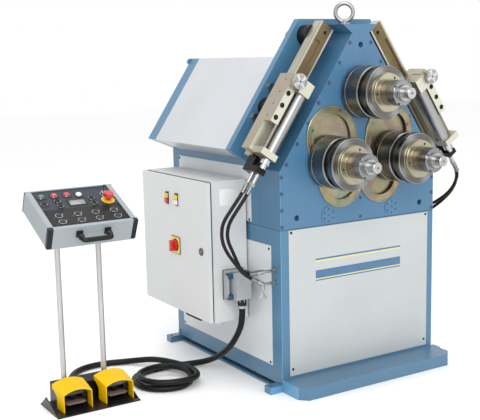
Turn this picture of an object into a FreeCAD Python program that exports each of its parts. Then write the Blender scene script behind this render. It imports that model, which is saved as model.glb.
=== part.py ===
import FreeCAD, Part
import math
import os

# Ring roller: a three-roll section bender with lateral guides, a switch cabinet
# and a console with foot pedals.  Millimetres, +X right, +Y back, +Z up, floor at Z = 0.

# ---- small clearances -------------------------------------------------------
RUN_FIT = 0.06        # radial running fit of shafts in bores
SLIDE_GAP = 0.3       # free gap of sliding pieces
SOFT_GAP = 0.3        # free gap of soft pieces

# ---- base -------------------------------------------------------------------
BODY_HALF = 342.0     # half width of the body
BODY_DEPTH = 747.0
BODY_LIFT = 25.0      # underside of the body above the floor
SEAM_Z = 562.0        # seam between the base cabinet and the head
WALL = 6.0
PLINTH_FRONT = -118.0
PLINTH_TOP = 43.0
PLINTH_CHAMFER = 28.0
PLINTH_PLATE = 8.0
FOOT_HALF = BODY_HALF + 49.0
FOOT_WIDTH = 38.0
FOOT_REAR_Y = BODY_DEPTH - 23.0
FOOT_HOLE_X = BODY_HALF + 36.0
FOOT_HOLE_R = 7.0

# ---- panels -----------------------------------------------------------------
PANEL_T = 2.0
FRONT_PANEL_X0 = -BODY_HALF + 32.0
FRONT_PANEL_X1 = BODY_HALF - 28.0
FRONT_PANEL_Z0 = 50.6
FRONT_PANEL_Z1 = 559.0
SIDE_PANEL_Y0 = 57.0
SIDE_PANEL_Y1 = BODY_DEPTH - 52.0
SIDE_PANEL_Z0 = 82.0
SIDE_PANEL_Z1 = 503.0
UPPER_PANEL_Z0 = 570.0
UPPER_PANEL_Z1 = 762.0
PANEL_LAP = 12.0      # how far a panel laps over its opening
VENT_Y1 = SIDE_PANEL_Y1 - 5.0
VENT_Y0 = VENT_Y1 - 150.0
VENT_Z0 = 122.0
VENT_Z1 = 165.0

# ---- head block -------------------------------------------------------------
HEAD_DEPTH = 140.0
UPPER_PANEL_Y0 = HEAD_DEPTH + 37.0
SHOULDER_Z = 761.0
WAIST_X = 37.0
WAIST_Z = 1210.0
TOP_X = 77.5
TOP_Z = 1239.0
FRONT_WALL = 4.0
REAR_WALL = 20.0
CAVITY_X = BODY_HALF - 114.0
CAVITY_Z0 = 604.0
CAVITY_Z1 = 1085.0
SLOPE_WALL = 26.5     # wall left along the sloping edges
DRILL_R = 10.0
DRILL_DEPTH = 18.0
DRILL_LOW_X = BODY_HALF - 67.0
DRILLS = ((0.0, 1170.0), (-DRILL_LOW_X, 598.5), (DRILL_LOW_X, 598.5))
TRUNNION_X = 141.0
TRUNNION_Z = 595.0
TRUNNION_R = 31.0
TRUNNION_RISE = 2.0

# ---- oval rims and swing arms ----------------------------------------------
PIVOT_Z = 816.0
PIVOT_R = 25.0
PIVOT_SOCKET = 2.5
EGG_TOP = (128.0, 863.0, 105.0)      # x, z, outer radius
EGG_LOW = (88.0, 712.5, 93.5)
RIM_WIDTH = 25.0
RIM_T = 4.0
RIM_SPLIT = 1.0       # the two rims meet at the middle with this gap each
COVER_LAP = 6.0
COVER_T = 2.5
COVER_LEFT_Y = FRONT_WALL + 0.6
COVER_RIGHT_Y = COVER_LEFT_Y + COVER_T + 0.7
ARM_HUB_R = 45.0
ARM_SLEEVE_R = 48.0
ARM_LINK_T = 36.0
ARM_GAP = 4.0
ARM_SLEEVE_END = HEAD_DEPTH - REAR_WALL - 6.0
ARM_RIGHT_REAR = ARM_SLEEVE_END - 8.0
ARM_RIGHT_Y = (ARM_RIGHT_REAR - ARM_LINK_T, ARM_RIGHT_REAR)
ARM_LEFT_REAR = ARM_RIGHT_Y[0] - ARM_GAP
ARM_LEFT_Y = (ARM_LEFT_REAR - ARM_LINK_T, ARM_LEFT_REAR)

# ---- rolls ------------------------------------------------------------------
UPPER_ROLL = (0.0, 1011.0)
LOWER_ROLL_X = 142.0
LOWER_ROLL_Z = 780.3
SHAFT_R = 30.0
COLLAR_R = 36.0
STACK_Y = -8.0        # the rings stack forward from here
REAR_RING_W = 18.0
REAR_RING_R = 90.0
FORM_RING_W = 62.5
FORM_RING_R = 89.0
GROOVE_W = 23.5
GROOVE_R = 71.0
FRONT_RING_W = 26.0
RING_ROUND = 4.0
HUB_FLANGE_W = 12.0
HUB_FLANGE_R = 64.0
HUB_LEN = 50.0
HUB_R = 42.5
HUB_HOLE_R = 4.0
HUB_HOLE_PITCH_R = 52.0
NUT_W = 19.0
NUT_R = 42.0
NUT_SLOTS = 4
THREAD_R = 25.0
THREAD_TAIL = 9.0
JOURNAL_R = 18.0
JOURNAL_LEN = 32.0
CENTRE_HOLE_R = 3.0
UPPER_SHAFT_REAR = HEAD_DEPTH + 90.0
LOWER_SHAFT_REAR = ARM_SLEEVE_END + 4.0
UPPER_HUB_TURN = 65.0     # first screw hole, in degrees
LOWER_HUB_TURN = 72.0
BEARING_R = 55.0
BEARING_LEN = 90.0
BEARING_Y0 = HEAD_DEPTH - REAR_WALL - BEARING_LEN

# ---- guide flange, hood and rear frame --------------------------------------
FLANGE_T = 28.0
WING_X = BODY_HALF + 106.0
WING_Z = 831.0
FLANGE_LOW_Z = 757.0
HOOD_TOP_X = 244.0
HOOD_TOP_Z = 1134.0
HOOD_FOOT_Z = 787.0
HOOD_REAR_Y = BODY_DEPTH - 60.0
REAR_DEPTH = 63.0
SHEET = 3.0
BOLT_AF = 24.0
BOLT_HEAD = 12.0

# ---- lifting eye ------------------------------------------------------------
EYE_Y = HEAD_DEPTH - 50.0
EYE_COLLAR_R = 20.0
EYE_COLLAR_H = 9.0
EYE_RING_R = 30.5
EYE_WIRE_R = 7.0
EYE_TURN = 37.0

# ---- sloping edge: n is measured square to the slope, s down along it --------
SLOPE = math.atan2(BODY_HALF - WAIST_X, WAIST_Z - SHOULDER_Z)
SIN = math.sin(SLOPE)
COS = math.cos(SLOPE)
EDGE_N = BODY_HALF * COS + SHOULDER_Z * SIN
EDGE_S = BODY_HALF * SIN - SHOULDER_Z * COS

# ---- rails ------------------------------------------------------------------
RAIL_N0 = EDGE_N + 41.0
RAIL_WIDTH = 59.0
RAIL_N1 = RAIL_N0 + RAIL_WIDTH
RAIL_S1 = EDGE_S - 3.7
RAIL_LENGTH = 524.0
RAIL_S0 = RAIL_S1 - RAIL_LENGTH
RAIL_Y0 = 47.0
RAIL_Y1 = 89.0
RAIL_HOLE_N = RAIL_N0 + 24.5
RAIL_HOLE_S = RAIL_S0 + 28.0
RAIL_HOLE_R = 7.0
GROOVE_N0 = RAIL_N0 + 23.0
GROOVE_N1 = GROOVE_N0 + 23.0
GROOVE_S0 = RAIL_S0 + 65.0
GROOVE_DEPTH = 5.0
ROD_IN_N = RAIL_N0 + 34.5
ROD_IN_S = (RAIL_S0 + 42.0, RAIL_S0 + 335.0)
SLEEVE_R = 36.5
ROD_R = 20.0
ROD_REAR_Y = HEAD_DEPTH + 94.0
ROD_FRONT_Y = RAIL_Y1 - 5.0

# ---- flange corner and bolts beside the rails ----------------------------------
FLANGE_TOP_N = RAIL_N1 + 29.3
FLANGE_TOP_S = RAIL_S0 + 9.9
FLANGE_TOP_X = FLANGE_TOP_N * COS + FLANGE_TOP_S * SIN
FLANGE_TOP_Z = FLANGE_TOP_N * SIN - FLANGE_TOP_S * COS
BOLT_IN_N = RAIL_N1 + 2.0
BOLT_IN_S = (ROD_IN_S[1] - 68.0, ROD_IN_S[1] + 52.0)

# ---- carriages on the rails -------------------------------------------------
GUIDE_N1 = RAIL_N1 + 32.5
GUIDE_S0 = EDGE_S - 297.7
GUIDE_STEP_S = GUIDE_S0 + 179.0
GUIDE_S1 = GUIDE_S0 + 285.0
GUIDE_FRONT_Y = -15.0
GUIDE_LOW_FRONT_Y = 23.0
GUIDE_REAR_Y = 70.0
PEG_IN_N = GUIDE_N1 - 12.5
PEG_IN_S = GUIDE_S0 + 24.0
PEG_PITCH = 45.4
PEG_HOLE_R = 9.0
PEG_R = 26.0
PEG_COLLAR_R = 21.0
PEG_FRONT_Y = -48.0
PEG_DISC = 12.0
BARREL_N = RAIL_N1 - 28.5
BARREL_Y = -9.0
BARREL_R = 20.0
BARREL_BORE_R = 14.0
BARREL_S0 = GUIDE_S0 + 51.0
BARREL_S1 = GUIDE_S0 + 268.0
TOP_BLOCK_N0 = RAIL_N0 + 12.5
TOP_BLOCK_S0 = GUIDE_S0 + 2.0
LOW_BLOCK_S1 = GUIDE_S1 + 5.0
LOW_BLOCK_N1 = GUIDE_N1 - 13.0
BLOCK_FRONT_Y = -34.0
PISTON_ROD_R = 10.0
PISTON_S0 = BARREL_S0 + 8.0
PISTON_LEN = 12.0
SPINDLE_R = 6.5
SPINDLE_IN_N = BARREL_N + BARREL_R + SPINDLE_R + 1.0
SPINDLE_Y = -6.0
ROD_NUT_R = 17.0
ROD_NUT_S0 = LOW_BLOCK_S1 + 4.0
ROD_NUT_S1 = ROD_NUT_S0 + 17.0

# ---- black feet below the rails ---------------------------------------------
LUG_N0 = BARREL_N - 16.0
LUG_N1 = BARREL_N + 20.0
LUG_S0 = RAIL_S1 + 32.0
LUG_S1 = LUG_S0 + 19.0
LUG_FRONT_Y = -14.0
LUG_REAR_Y = 68.0
LUG_STEM_Y = 25.0

# ---- hoses and wall pipes ---------------------------------------------------
HOSE_R = 6.0
FERRULE_R = 6.5
FITTING_R = 9.0
FITTING_HEX = 12.0
PIPE_R = 5.0
PIPE_OUT = 45.0       # bare pipe between the wall and its end fitting
PIPE_Y = 38.0
PIPE_HIGH_Z = 422.0
PIPE_LOW_Z = 379.5
HIGH_END = 72.0       # end of the upper fitting, out from the wall
ELBOW_END = (70.0, PIPE_Y, 391.5)
RIGHT_PIPE_Y = 148.0
RIGHT_PIPE_OUT = 5.0
RIGHT_PIPE_Z = (520.0, 548.0)
VALVE_Z = 361.0
VALVE_R = 6.5
START_OUTER = (BARREL_N + 7.0, EDGE_S + 94.3, 19.0)     # n, s, y
START_INNER = (BARREL_N - 3.0, EDGE_S + 93.3, 3.0)
# bends of each hose: distance out from the side wall, y and z
BENDS_LEFT_OUTER = (
    (176, 20, 652), (212, 23, 606), (213, 26, 553), (193, 28, 508), (161, 27, 466),
    (131, 29, 429), (92, 38, 404.1))
BENDS_LEFT_INNER = (
    (162, 8, 649), (193, 15, 604), (195, 22, 556), (170, 31, 511), (146, 41, 469),
    (134, 44, 445.5), (117, 43, 429.5), (96, 38, 422))
BENDS_RIGHT_OUTER = (
    (152, 34, 655), (153, 56, 618), (144, 80, 588), (131, 106, 561), (114, 130, 538), (82, 148, 520))
BENDS_RIGHT_INNER = (
    (137, 22, 655), (140, 46, 624), (134, 70, 599), (123, 96, 577), (106, 124, 557), (74, 148, 548))

# ---- switch cabinet ---------------------------------------------------------
BOX_SPACER = 8.0
BOX_WIDTH = 138.0
BOX_LENGTH = 479.0
BOX_INSET = 15.0
BOX_X1 = -BODY_HALF - BOX_SPACER
BOX_X0 = BOX_X1 - BOX_WIDTH
BOX_Y1 = SIDE_PANEL_Y1 - BOX_INSET
BOX_Y0 = BOX_Y1 - BOX_LENGTH
BOX_Z0 = 221.0
BOX_Z1 = 719.0
BOX_SHEET = 2.5
DOOR_GAP = 4.0
DOOR_T = 16.0
DOOR_X1 = BOX_X0 - DOOR_GAP
DOOR_X0 = DOOR_X1 - DOOR_T
DOOR_Y0 = BOX_Y0 - 5.0
DOOR_Y1 = BOX_Y1 + 7.0
DOOR_Z0 = 226.0
DOOR_Z1 = 716.0
DOOR_HINGE_X = DOOR_X1 + 2.0
DOOR_HINGE_Y = DOOR_Y1 + 4.0
HINGE_LOW_Z = BOX_Z0 + 70.0
HINGE_HIGH_Z = BOX_Z1 - 100.0
HINGE_LEN = 14.0
HINGE_R = 4.0
HINGE_PIN_R = 1.8
BOX_GLAND_X = BOX_X0 + 33.0
STATION_W = 36.0
STATION_H = 42.0
STATION_IN = (288.0, 216.0)
STATION_Z = 635.5
STATIONS = [(DOOR_Y0 + inset, STATION_Z) for inset in STATION_IN]
SWITCH_IN = 234.0
SWITCH_Y = DOOR_Y0 + SWITCH_IN
SWITCH_Z = 467.0
SWITCH_PLATE = 60.0
LOCK_IN = 49.0
LOCK_Y = DOOR_Y0 + LOCK_IN
LOCK_Z = 472.0

# ---- floor tray of the console, front and rear edge ---------------------------
TRAY_Y0 = 212.0
TRAY_Y1 = 376.0

# ---- connector and cable ----------------------------------------------------
PLUG_GAP = 28.0
PLUG_WIDTH = 80.0
PLUG_DEPTH = 29.0
PLUG_X1 = -BODY_HALF - PLUG_GAP
PLUG_X0 = PLUG_X1 - PLUG_WIDTH
PLUG_Y0 = BOX_Y0 - PLUG_DEPTH
PLUG_Z0 = 303.0
PLUG_Z1 = 406.0
PLUG_HOOD_X0 = PLUG_X0 + 12.0
PLUG_HOOD_X1 = PLUG_X1 - 10.0
PLUG_HOOD_Y0 = PLUG_Y0 - 44.0
PLUG_HOOD_Z0 = 310.0
PLUG_HOOD_Z1 = 400.0
GLAND_R = 15.0
GLAND_LEN = 34.0
CABLE_R = 11.0
GLAND_X = -BODY_HALF - 63.0
GLAND_Y = PLUG_HOOD_Y0 + 22.0
CABLE_A = (
    (GLAND_X, GLAND_Y, 276), (GLAND_X, GLAND_Y, 228), (-408, 182, 168), (-406, 240, 110),
    (-410, 305, 62), (-424, 372, 26), (-466, 420, 11.5), (-530, 436, 11.5), (-618, 444, 11.5))
COIL_X = -618.0
COIL_Y = 336.0
COIL_R = 108.0
COIL_TOP = 48.0
CABLE_B = (
    (-513.7, 364, 35), (-523, 400, 35), (-556, 462, 34.5), (-598, 528, 21), (-655, 584, 11.5),
    (-730, 612, 11.5), (-808, 612, 11.5), (-864, 580, 11.5), (-908, 520, 11.5),
    (-930, 450, 11.5), (-930, TRAY_Y1, 11.5))

# ---- console ----------------------------------------------------------------
DESK_X = -924.0
DESK_Y = 187.0
DESK_Z = 623.0
DESK_TILT = 24.6
DESK_HALF = 153.0
DESK_LEN = 229.0
DESK_T = 75.0
DESK_CAP = 18.0
DESK_RECESS = 3.0
DESK_PANEL_HALF = 133.0
DESK_PANEL_D0 = 14.0
DESK_PANEL_D1 = 225.0
HANDLE_X = 46.5
HANDLE_H = -26.0
HANDLE_OUT = 46.0
HANDLE_ROD_R = 5.0
LAMPS = ((-110.0, 189.0), (-66.0, 190.0), (-23.0, 188.0), (17.0, 182.0))
SELECTORS = ((-66.0, 158.0), (-66.0, 128.0), (50.0, 127.0), (-115.0, 146.0))
BUTTON_X = (-92.0, -28.0, 33.0, 97.0)
BUTTON_D = (73.0, 38.0)
SQUARE_BUTTON = (51.0, 156.0)
KEY_SWITCH = (102.0, 175.0)
MUSHROOM_X = 104.0
MUSHROOM_D = 138.0
STOP_STEM_R = 6.0
STOP_TRAVEL = 4.0
STOP_WELL = 14.0
POST_X = (-993.0, -847.0)
POST_Y = 350.0
POST_R = 9.5
POST_Z0 = 58.0
TRAY_X0 = -1070.0
TRAY_X1 = -777.0
TRAY_T = 4.0
TRAY_BOX_X0 = -1034.0
TRAY_BOX_X1 = -815.0
TRAY_BOX_Y0 = TRAY_Y1 - 42.0
TRAY_BOX_TOP = 73.0
TRAY_BOX_FRONT_TOP = 62.0
GUSSET_Y = TRAY_Y1 - 56.0
GUSSET_TOP = 42.0
GUARD_X = (-988.0, -839.0)
GUARD_HALF = 50.0
GUARD_KNEE = 64.0
GUARD_TOP = 77.0
GUARD_Y0 = TRAY_Y0 + 28.0
GUARD_Y1 = GUARD_Y0 + 90.0
GUARD_WALL_Y = GUARD_Y0 + 56.0
GUARD_RISE = 14.0
GUARD_SPREAD = 5.0
GUARD_T = 2.5
SWITCH_BODY_HALF = GUARD_HALF - GUARD_T - 0.5
SWITCH_BODY_TOP = 48.0
PEDAL_HALF = 29.0
PEDAL_Y0 = GUARD_Y0 + 18.0
PEDAL_Y1 = GUARD_Y0 + 74.0
PEDAL_Z = 20.0
PEDAL_T = 4.0
PEDAL_AXLE_R = 4.0

UP = FreeCAD.Vector(0, 0, 1)


def vec(x, y, z):
    """A FreeCAD vector."""
    return FreeCAD.Vector(x, y, z)


def box(x0, x1, y0, y1, z0, z1):
    """An upright block between two corners."""
    return Part.makeBox(x1 - x0, y1 - y0, z1 - z0, vec(x0, y0, z0))


def rod(start, direction, radius, length):
    """A cylinder from a point along a direction."""
    return Part.makeCylinder(radius, length, vec(*start), vec(*direction))


def rod_y(x, z, radius, y0, y1):
    """A cylinder along Y."""
    return rod((x, y0, z), (0, 1, 0), radius, y1 - y0)


def prism_y(points, y0, y1):
    """A prism along Y from an outline of (x, z) points."""
    ring = [vec(x, y0, z) for x, z in points]
    face = Part.Face(Part.makePolygon(ring + [ring[0]]))
    return face.extrude(vec(0, y1 - y0, 0))


def mirrored(points):
    """A closed outline from its right half, listed from the bottom up."""
    return list(points) + [(-x, z) for x, z in reversed(points)]


def slope_point(side, n, s):
    """World (x, z) of a point given square to (n) and down along (s) a slope."""
    return (side * (n * COS + s * SIN), n * SIN - s * COS)


def slope_box(side, n0, n1, s0, s1, y0, y1):
    """A block lined up with the slope on one side."""
    corners = [slope_point(side, n, s) for n, s in ((n0, s0), (n1, s0), (n1, s1), (n0, s1))]
    return prism_y(corners, y0, y1)


def slope_rod(side, n, y, radius, s0, s1):
    """A cylinder lying down along the slope."""
    x, z = slope_point(side, n, s0)
    return rod((x, y, z), (side * SIN, 0, -COS), radius, s1 - s0)


def slope_x(z):
    """Half width of the sloping edge of the head at a height."""
    return BODY_HALF - (z - SHOULDER_Z) * (BODY_HALF - WAIST_X) / (WAIST_Z - SHOULDER_Z)


def egg(side, shrink, y0, y1):
    """The oval around a swing arm: two circles and their common tangents."""
    xa, za, ra = EGG_TOP
    xb, zb, rb = EGG_LOW
    ra -= shrink
    rb -= shrink
    span = math.hypot(xb - xa, zb - za)
    lean = math.asin((ra - rb) / span)
    along = math.atan2(zb - za, xb - xa)
    first = along + math.pi / 2 - lean
    second = along - math.pi / 2 + lean
    a0 = vec(side * (xa + ra * math.cos(first)), y0, za + ra * math.sin(first))
    a1 = vec(side * (xa + ra * math.cos(second)), y0, za + ra * math.sin(second))
    a_far = vec(side * (xa - ra * math.cos(along)), y0, za - ra * math.sin(along))
    b0 = vec(side * (xb + rb * math.cos(first)), y0, zb + rb * math.sin(first))
    b1 = vec(side * (xb + rb * math.cos(second)), y0, zb + rb * math.sin(second))
    b_far = vec(side * (xb + rb * math.cos(along)), y0, zb + rb * math.sin(along))
    edges = [
        Part.Arc(a1, a_far, a0).toShape(),
        Part.LineSegment(a0, b0).toShape(),
        Part.Arc(b0, b_far, b1).toShape(),
        Part.LineSegment(b1, a1).toShape(),
    ]
    face = Part.Face(Part.Wire(edges))
    return face.extrude(vec(0, y1 - y0, 0))


def turned(profile, x, z):
    """A solid turned about an axis along Y from (radius, y) points."""
    ring = [vec(x + r, y, z) for r, y in profile]
    face = Part.Face(Part.makePolygon(ring + [ring[0]]))
    return face.revolve(vec(x, 0, z), vec(0, 1, 0), 360)


def ring_blank(x, z, outer, y_rear, width, rounding):
    """One forming ring with broken edges and the shaft's bore."""
    y0 = y_rear - width
    c = rounding
    profile = [
        (SHAFT_R, y0), (outer - c, y0), (outer - 0.3 * c, y0 + 0.3 * c), (outer, y0 + c),
        (outer, y_rear - c), (outer - 0.3 * c, y_rear - 0.3 * c), (outer - c, y_rear),
        (SHAFT_R, y_rear)]
    return turned(profile, x, z)


def tube_wire(points):
    """Straight runs joined by tangent arcs; returns the wire and the smallest radius."""
    pts = [vec(*p) for p in points]
    edges = []
    start = pts[0]
    smallest = 1e9
    for before, corner, after in zip(pts, pts[1:], pts[2:]):
        run_in = corner - before
        run_out = after - corner
        turn = run_in.getAngle(run_out)
        cut = 0.45 * min(run_in.Length, run_out.Length)
        radius = cut / math.tan(turn / 2)
        smallest = min(smallest, radius)
        unit_in = vec(*run_in).normalize()
        unit_out = vec(*run_out).normalize()
        arc_start = corner - unit_in * cut
        arc_end = corner + unit_out * cut
        bisector = (unit_out - unit_in).normalize()
        middle = corner + bisector * (radius / math.cos(turn / 2) - radius)
        edges.append(Part.LineSegment(start, arc_start).toShape())
        edges.append(Part.Arc(arc_start, middle, arc_end).toShape())
        start = arc_end
    edges.append(Part.LineSegment(start, pts[-1]).toShape())
    return Part.Wire(edges), smallest


def tube(name, points, radius):
    """A round cord swept along its route."""
    wire, smallest = tube_wire(points)
    start = vec(*points[0])
    tangent = vec(*points[1]) - start
    section = Part.Wire(Part.makeCircle(radius, start, tangent))
    solid = wire.makePipeShell([section], True, False)
    wanted = math.pi * radius * radius * wire.Length
    print("cord", name, "length", round(wire.Length), "radius", round(smallest),
          "volume ratio", round(solid.Volume / wanted, 3))
    return solid


def group(shapes):
    """Several solids of one node."""
    return Part.makeCompound(shapes)


def hose_route(side, start, bends, end):
    """Route of a hose from its fitting under a foot to its pipe at the wall."""
    n, s, y = start
    x, z = slope_point(side, n, s)
    ahead_x, ahead_z = slope_point(side, n, s + 36.0)
    points = [(x, y, z), (ahead_x, y, ahead_z)]
    points += [(side * (BODY_HALF + out), by, bz) for out, by, bz in bends]
    out, ey, ez = end
    return points + [(side * (BODY_HALF + out), ey, ez)]


def plinth():
    """Low step in front and the plate under the body."""
    x = BODY_HALF
    c = PLINTH_CHAMFER
    y0 = PLINTH_FRONT
    outline = [(-x + c, y0), (x - c, y0), (x, y0 + c), (x, -SLIDE_GAP), (-x, -SLIDE_GAP), (-x, y0 + c)]
    ring = [vec(px, py, 0) for px, py in outline]
    step = Part.Face(Part.makePolygon(ring + [ring[0]])).extrude(vec(0, 0, PLINTH_TOP))
    hollow = box(-x + c, x - c, y0 + c, -c, PLINTH_PLATE, PLINTH_TOP - WALL)
    plate = box(-x, x, -1.0, FOOT_REAR_Y + FOOT_WIDTH / 2, 0, PLINTH_PLATE)
    return step.cut(hollow).fuse(plate).removeSplitter()


def foot_bars():
    """Two bars across under the body with a bolt hole near each end."""
    bars = []
    for y0 in (0.0, FOOT_REAR_Y):
        y1 = y0 + FOOT_WIDTH
        bar = box(-FOOT_HALF, FOOT_HALF, y0, y1, 0, BODY_LIFT)
        bar = bar.cut(box(-BODY_HALF, BODY_HALF, y0 - 1, y1 + 1, -1, PLINTH_PLATE))
        for x in (-FOOT_HOLE_X, FOOT_HOLE_X):
            bar = bar.cut(rod((x, y0 + FOOT_WIDTH / 2, -1), (0, 0, 1), FOOT_HOLE_R, BODY_LIFT + 2))
        bars.append(bar)
    return group(bars)


def base_cabinet():
    """Welded base with openings behind the panels."""
    x = BODY_HALF
    top = SEAM_Z
    body = box(-x, x, 0, BODY_DEPTH, BODY_LIFT, top)
    body = body.cut(box(-x + 30, x - 30, 40, BODY_DEPTH - WALL, BODY_LIFT + WALL, top - WALL))
    lap = PANEL_LAP
    body = body.cut(box(-x - 1, x + 1, SIDE_PANEL_Y0 + lap, SIDE_PANEL_Y1 - lap,
                        SIDE_PANEL_Z0 + lap, SIDE_PANEL_Z1 - lap))
    body = body.cut(box(FRONT_PANEL_X0 + lap, FRONT_PANEL_X1 - lap, -1, 45,
                        FRONT_PANEL_Z0 + lap, FRONT_PANEL_Z1 - 2 * lap))
    return body


def side_panels():
    """Lower and upper side panels on both sides; the lower ones have a slot vent."""
    panels = []
    for side in (-1, 1):
        face = side * BODY_HALF
        x0 = min(face, face + side * PANEL_T)
        x1 = x0 + PANEL_T
        lower = box(x0, x1, SIDE_PANEL_Y0, SIDE_PANEL_Y1, SIDE_PANEL_Z0, SIDE_PANEL_Z1)
        r = (VENT_Z1 - VENT_Z0) / 2
        zc = VENT_Z0 + r
        lower = lower.cut(box(x0 - 1, x1 + 1, VENT_Y0 + r, VENT_Y1 - r, VENT_Z0, VENT_Z1))
        for y in (VENT_Y0 + r, VENT_Y1 - r):
            lower = lower.cut(rod((x0 - 1, y, zc), (1, 0, 0), r, PANEL_T + 2))
        upper = box(x0, x1, UPPER_PANEL_Y0, SIDE_PANEL_Y1, UPPER_PANEL_Z0, UPPER_PANEL_Z1)
        panels += [lower, upper]
    return group(panels)


def head_block():
    """Front block: outline, arm cavity, oval openings and bearing seats."""
    right = [(BODY_HALF, SEAM_Z), (BODY_HALF, SHOULDER_Z), (WAIST_X, WAIST_Z), (TOP_X, TOP_Z)]
    body = prism_y(mirrored(right), 0, HEAD_DEPTH)
    inner_top = slope_x(CAVITY_Z1) - SLOPE_WALL / COS
    turn_z = SHOULDER_Z + (BODY_HALF - SLOPE_WALL / COS - CAVITY_X) * COS / SIN
    cavity = [(CAVITY_X, CAVITY_Z0), (CAVITY_X, turn_z), (inner_top, CAVITY_Z1)]
    hollow = prism_y(mirrored(cavity), FRONT_WALL, HEAD_DEPTH - REAR_WALL)
    boss = rod_y(UPPER_ROLL[0], UPPER_ROLL[1], BEARING_R, BEARING_Y0, HEAD_DEPTH - REAR_WALL)
    body = body.cut(hollow.cut(boss))
    for side in (-1, 1):
        body = body.cut(egg(side, RIM_WIDTH, -1, FRONT_WALL + 1))
    bore = rod_y(UPPER_ROLL[0], UPPER_ROLL[1], SHAFT_R + RUN_FIT, -1, HEAD_DEPTH + 1)
    pin = rod_y(0, PIVOT_Z, PIVOT_R, FRONT_WALL - PIVOT_SOCKET, HEAD_DEPTH - REAR_WALL + PIVOT_SOCKET)
    body = body.cut(bore).cut(pin)
    for x, z in DRILLS:
        body = body.cut(rod_y(x, z, DRILL_R, -1, DRILL_DEPTH))
    return body


def upper_frame():
    """Blue frame behind the head block that carries the upper side panels."""
    x = BODY_HALF
    top = HOOD_FOOT_Z
    body = box(-x, x, HEAD_DEPTH, BODY_DEPTH, SEAM_Z, top)
    flange_y1 = HEAD_DEPTH + FLANGE_T
    body = body.cut(box(-x - 1, x + 1, HEAD_DEPTH - 1, flange_y1, FLANGE_LOW_Z, top + 1))
    body = body.cut(box(-x + 30, x - 30, HEAD_DEPTH + WALL, BODY_DEPTH - WALL, SEAM_Z + WALL, top + 1))
    lap = PANEL_LAP
    body = body.cut(box(-x - 1, x + 1, UPPER_PANEL_Y0 + lap, SIDE_PANEL_Y1 - lap,
                        UPPER_PANEL_Z0 + lap, UPPER_PANEL_Z1 - lap))
    return body


def oval_rims():
    """Flat zinc rims around the two arm openings."""
    rims = []
    for side in (-1, 1):
        rim = egg(side, 0, -RIM_T, 0).cut(egg(side, RIM_WIDTH, -RIM_T - 1, 1))
        far = side * 400.0
        near = side * RIM_SPLIT
        keep = box(min(near, far), max(near, far), -RIM_T - 1, 1, SEAM_Z, WAIST_Z)
        rims.append(rim.common(keep))
    return group(rims)


def swing_arm(side, cover_y, link_y):
    """A swing arm: hub on the pivot, link, bearing sleeve and dust plate."""
    x = side * LOWER_ROLL_X
    z = LOWER_ROLL_Z
    cover = egg(side, RIM_WIDTH - COVER_LAP, cover_y, cover_y + COVER_T)
    sleeve = rod_y(x, z, ARM_SLEEVE_R, cover_y, ARM_SLEEVE_END)
    hub = rod_y(0, PIVOT_Z, ARM_HUB_R, link_y[0], link_y[1])
    length = math.hypot(x, z - PIVOT_Z)
    ux = x / length
    uz = (z - PIVOT_Z) / length
    half = ARM_HUB_R * 0.7
    corners = [(-uz * half, PIVOT_Z + ux * half), (uz * half, PIVOT_Z - ux * half),
               (x + uz * half, z - ux * half), (x - uz * half, z + ux * half)]
    link = prism_y(corners, link_y[0], link_y[1])
    arm = sleeve.fuse([cover, hub, link]).removeSplitter()
    arm = arm.cut(rod_y(x, z, SHAFT_R + RUN_FIT, cover_y - 1, ARM_SLEEVE_END + 1))
    return arm.cut(rod_y(0, PIVOT_Z, PIVOT_R + RUN_FIT, link_y[0] - 1, link_y[1] + 1))


def roll_shaft(x, z, rear_y, collar_y):
    """Stepped shaft with collar, thread and journal."""
    y_nut = STACK_Y - REAR_RING_W - FORM_RING_W - GROOVE_W - FRONT_RING_W - HUB_FLANGE_W - HUB_LEN
    y_tail = y_nut - NUT_W - THREAD_TAIL
    y_end = y_tail - JOURNAL_LEN
    profile = [
        (0, rear_y), (SHAFT_R, rear_y), (SHAFT_R, collar_y), (COLLAR_R, collar_y),
        (COLLAR_R, STACK_Y), (SHAFT_R, STACK_Y), (SHAFT_R, y_nut), (THREAD_R, y_nut),
        (THREAD_R, y_tail), (JOURNAL_R, y_tail), (JOURNAL_R, y_end + 2), (JOURNAL_R - 2, y_end),
        (0, y_end)]
    shaft = turned(profile, x, z)
    return shaft.cut(rod_y(x, z, CENTRE_HOLE_R, y_end - 1, y_end + 8))


def roll_rings(x, z):
    """The stack of forming rings on one shaft."""
    y = STACK_Y
    rings = []
    for width, radius, rounding in (
            (REAR_RING_W, REAR_RING_R, 1.5), (FORM_RING_W, FORM_RING_R, RING_ROUND),
            (GROOVE_W, GROOVE_R, 1.0), (FRONT_RING_W, FORM_RING_R, RING_ROUND)):
        rings.append(ring_blank(x, z, radius, y, width, rounding))
        y -= width
    return group(rings)


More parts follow.
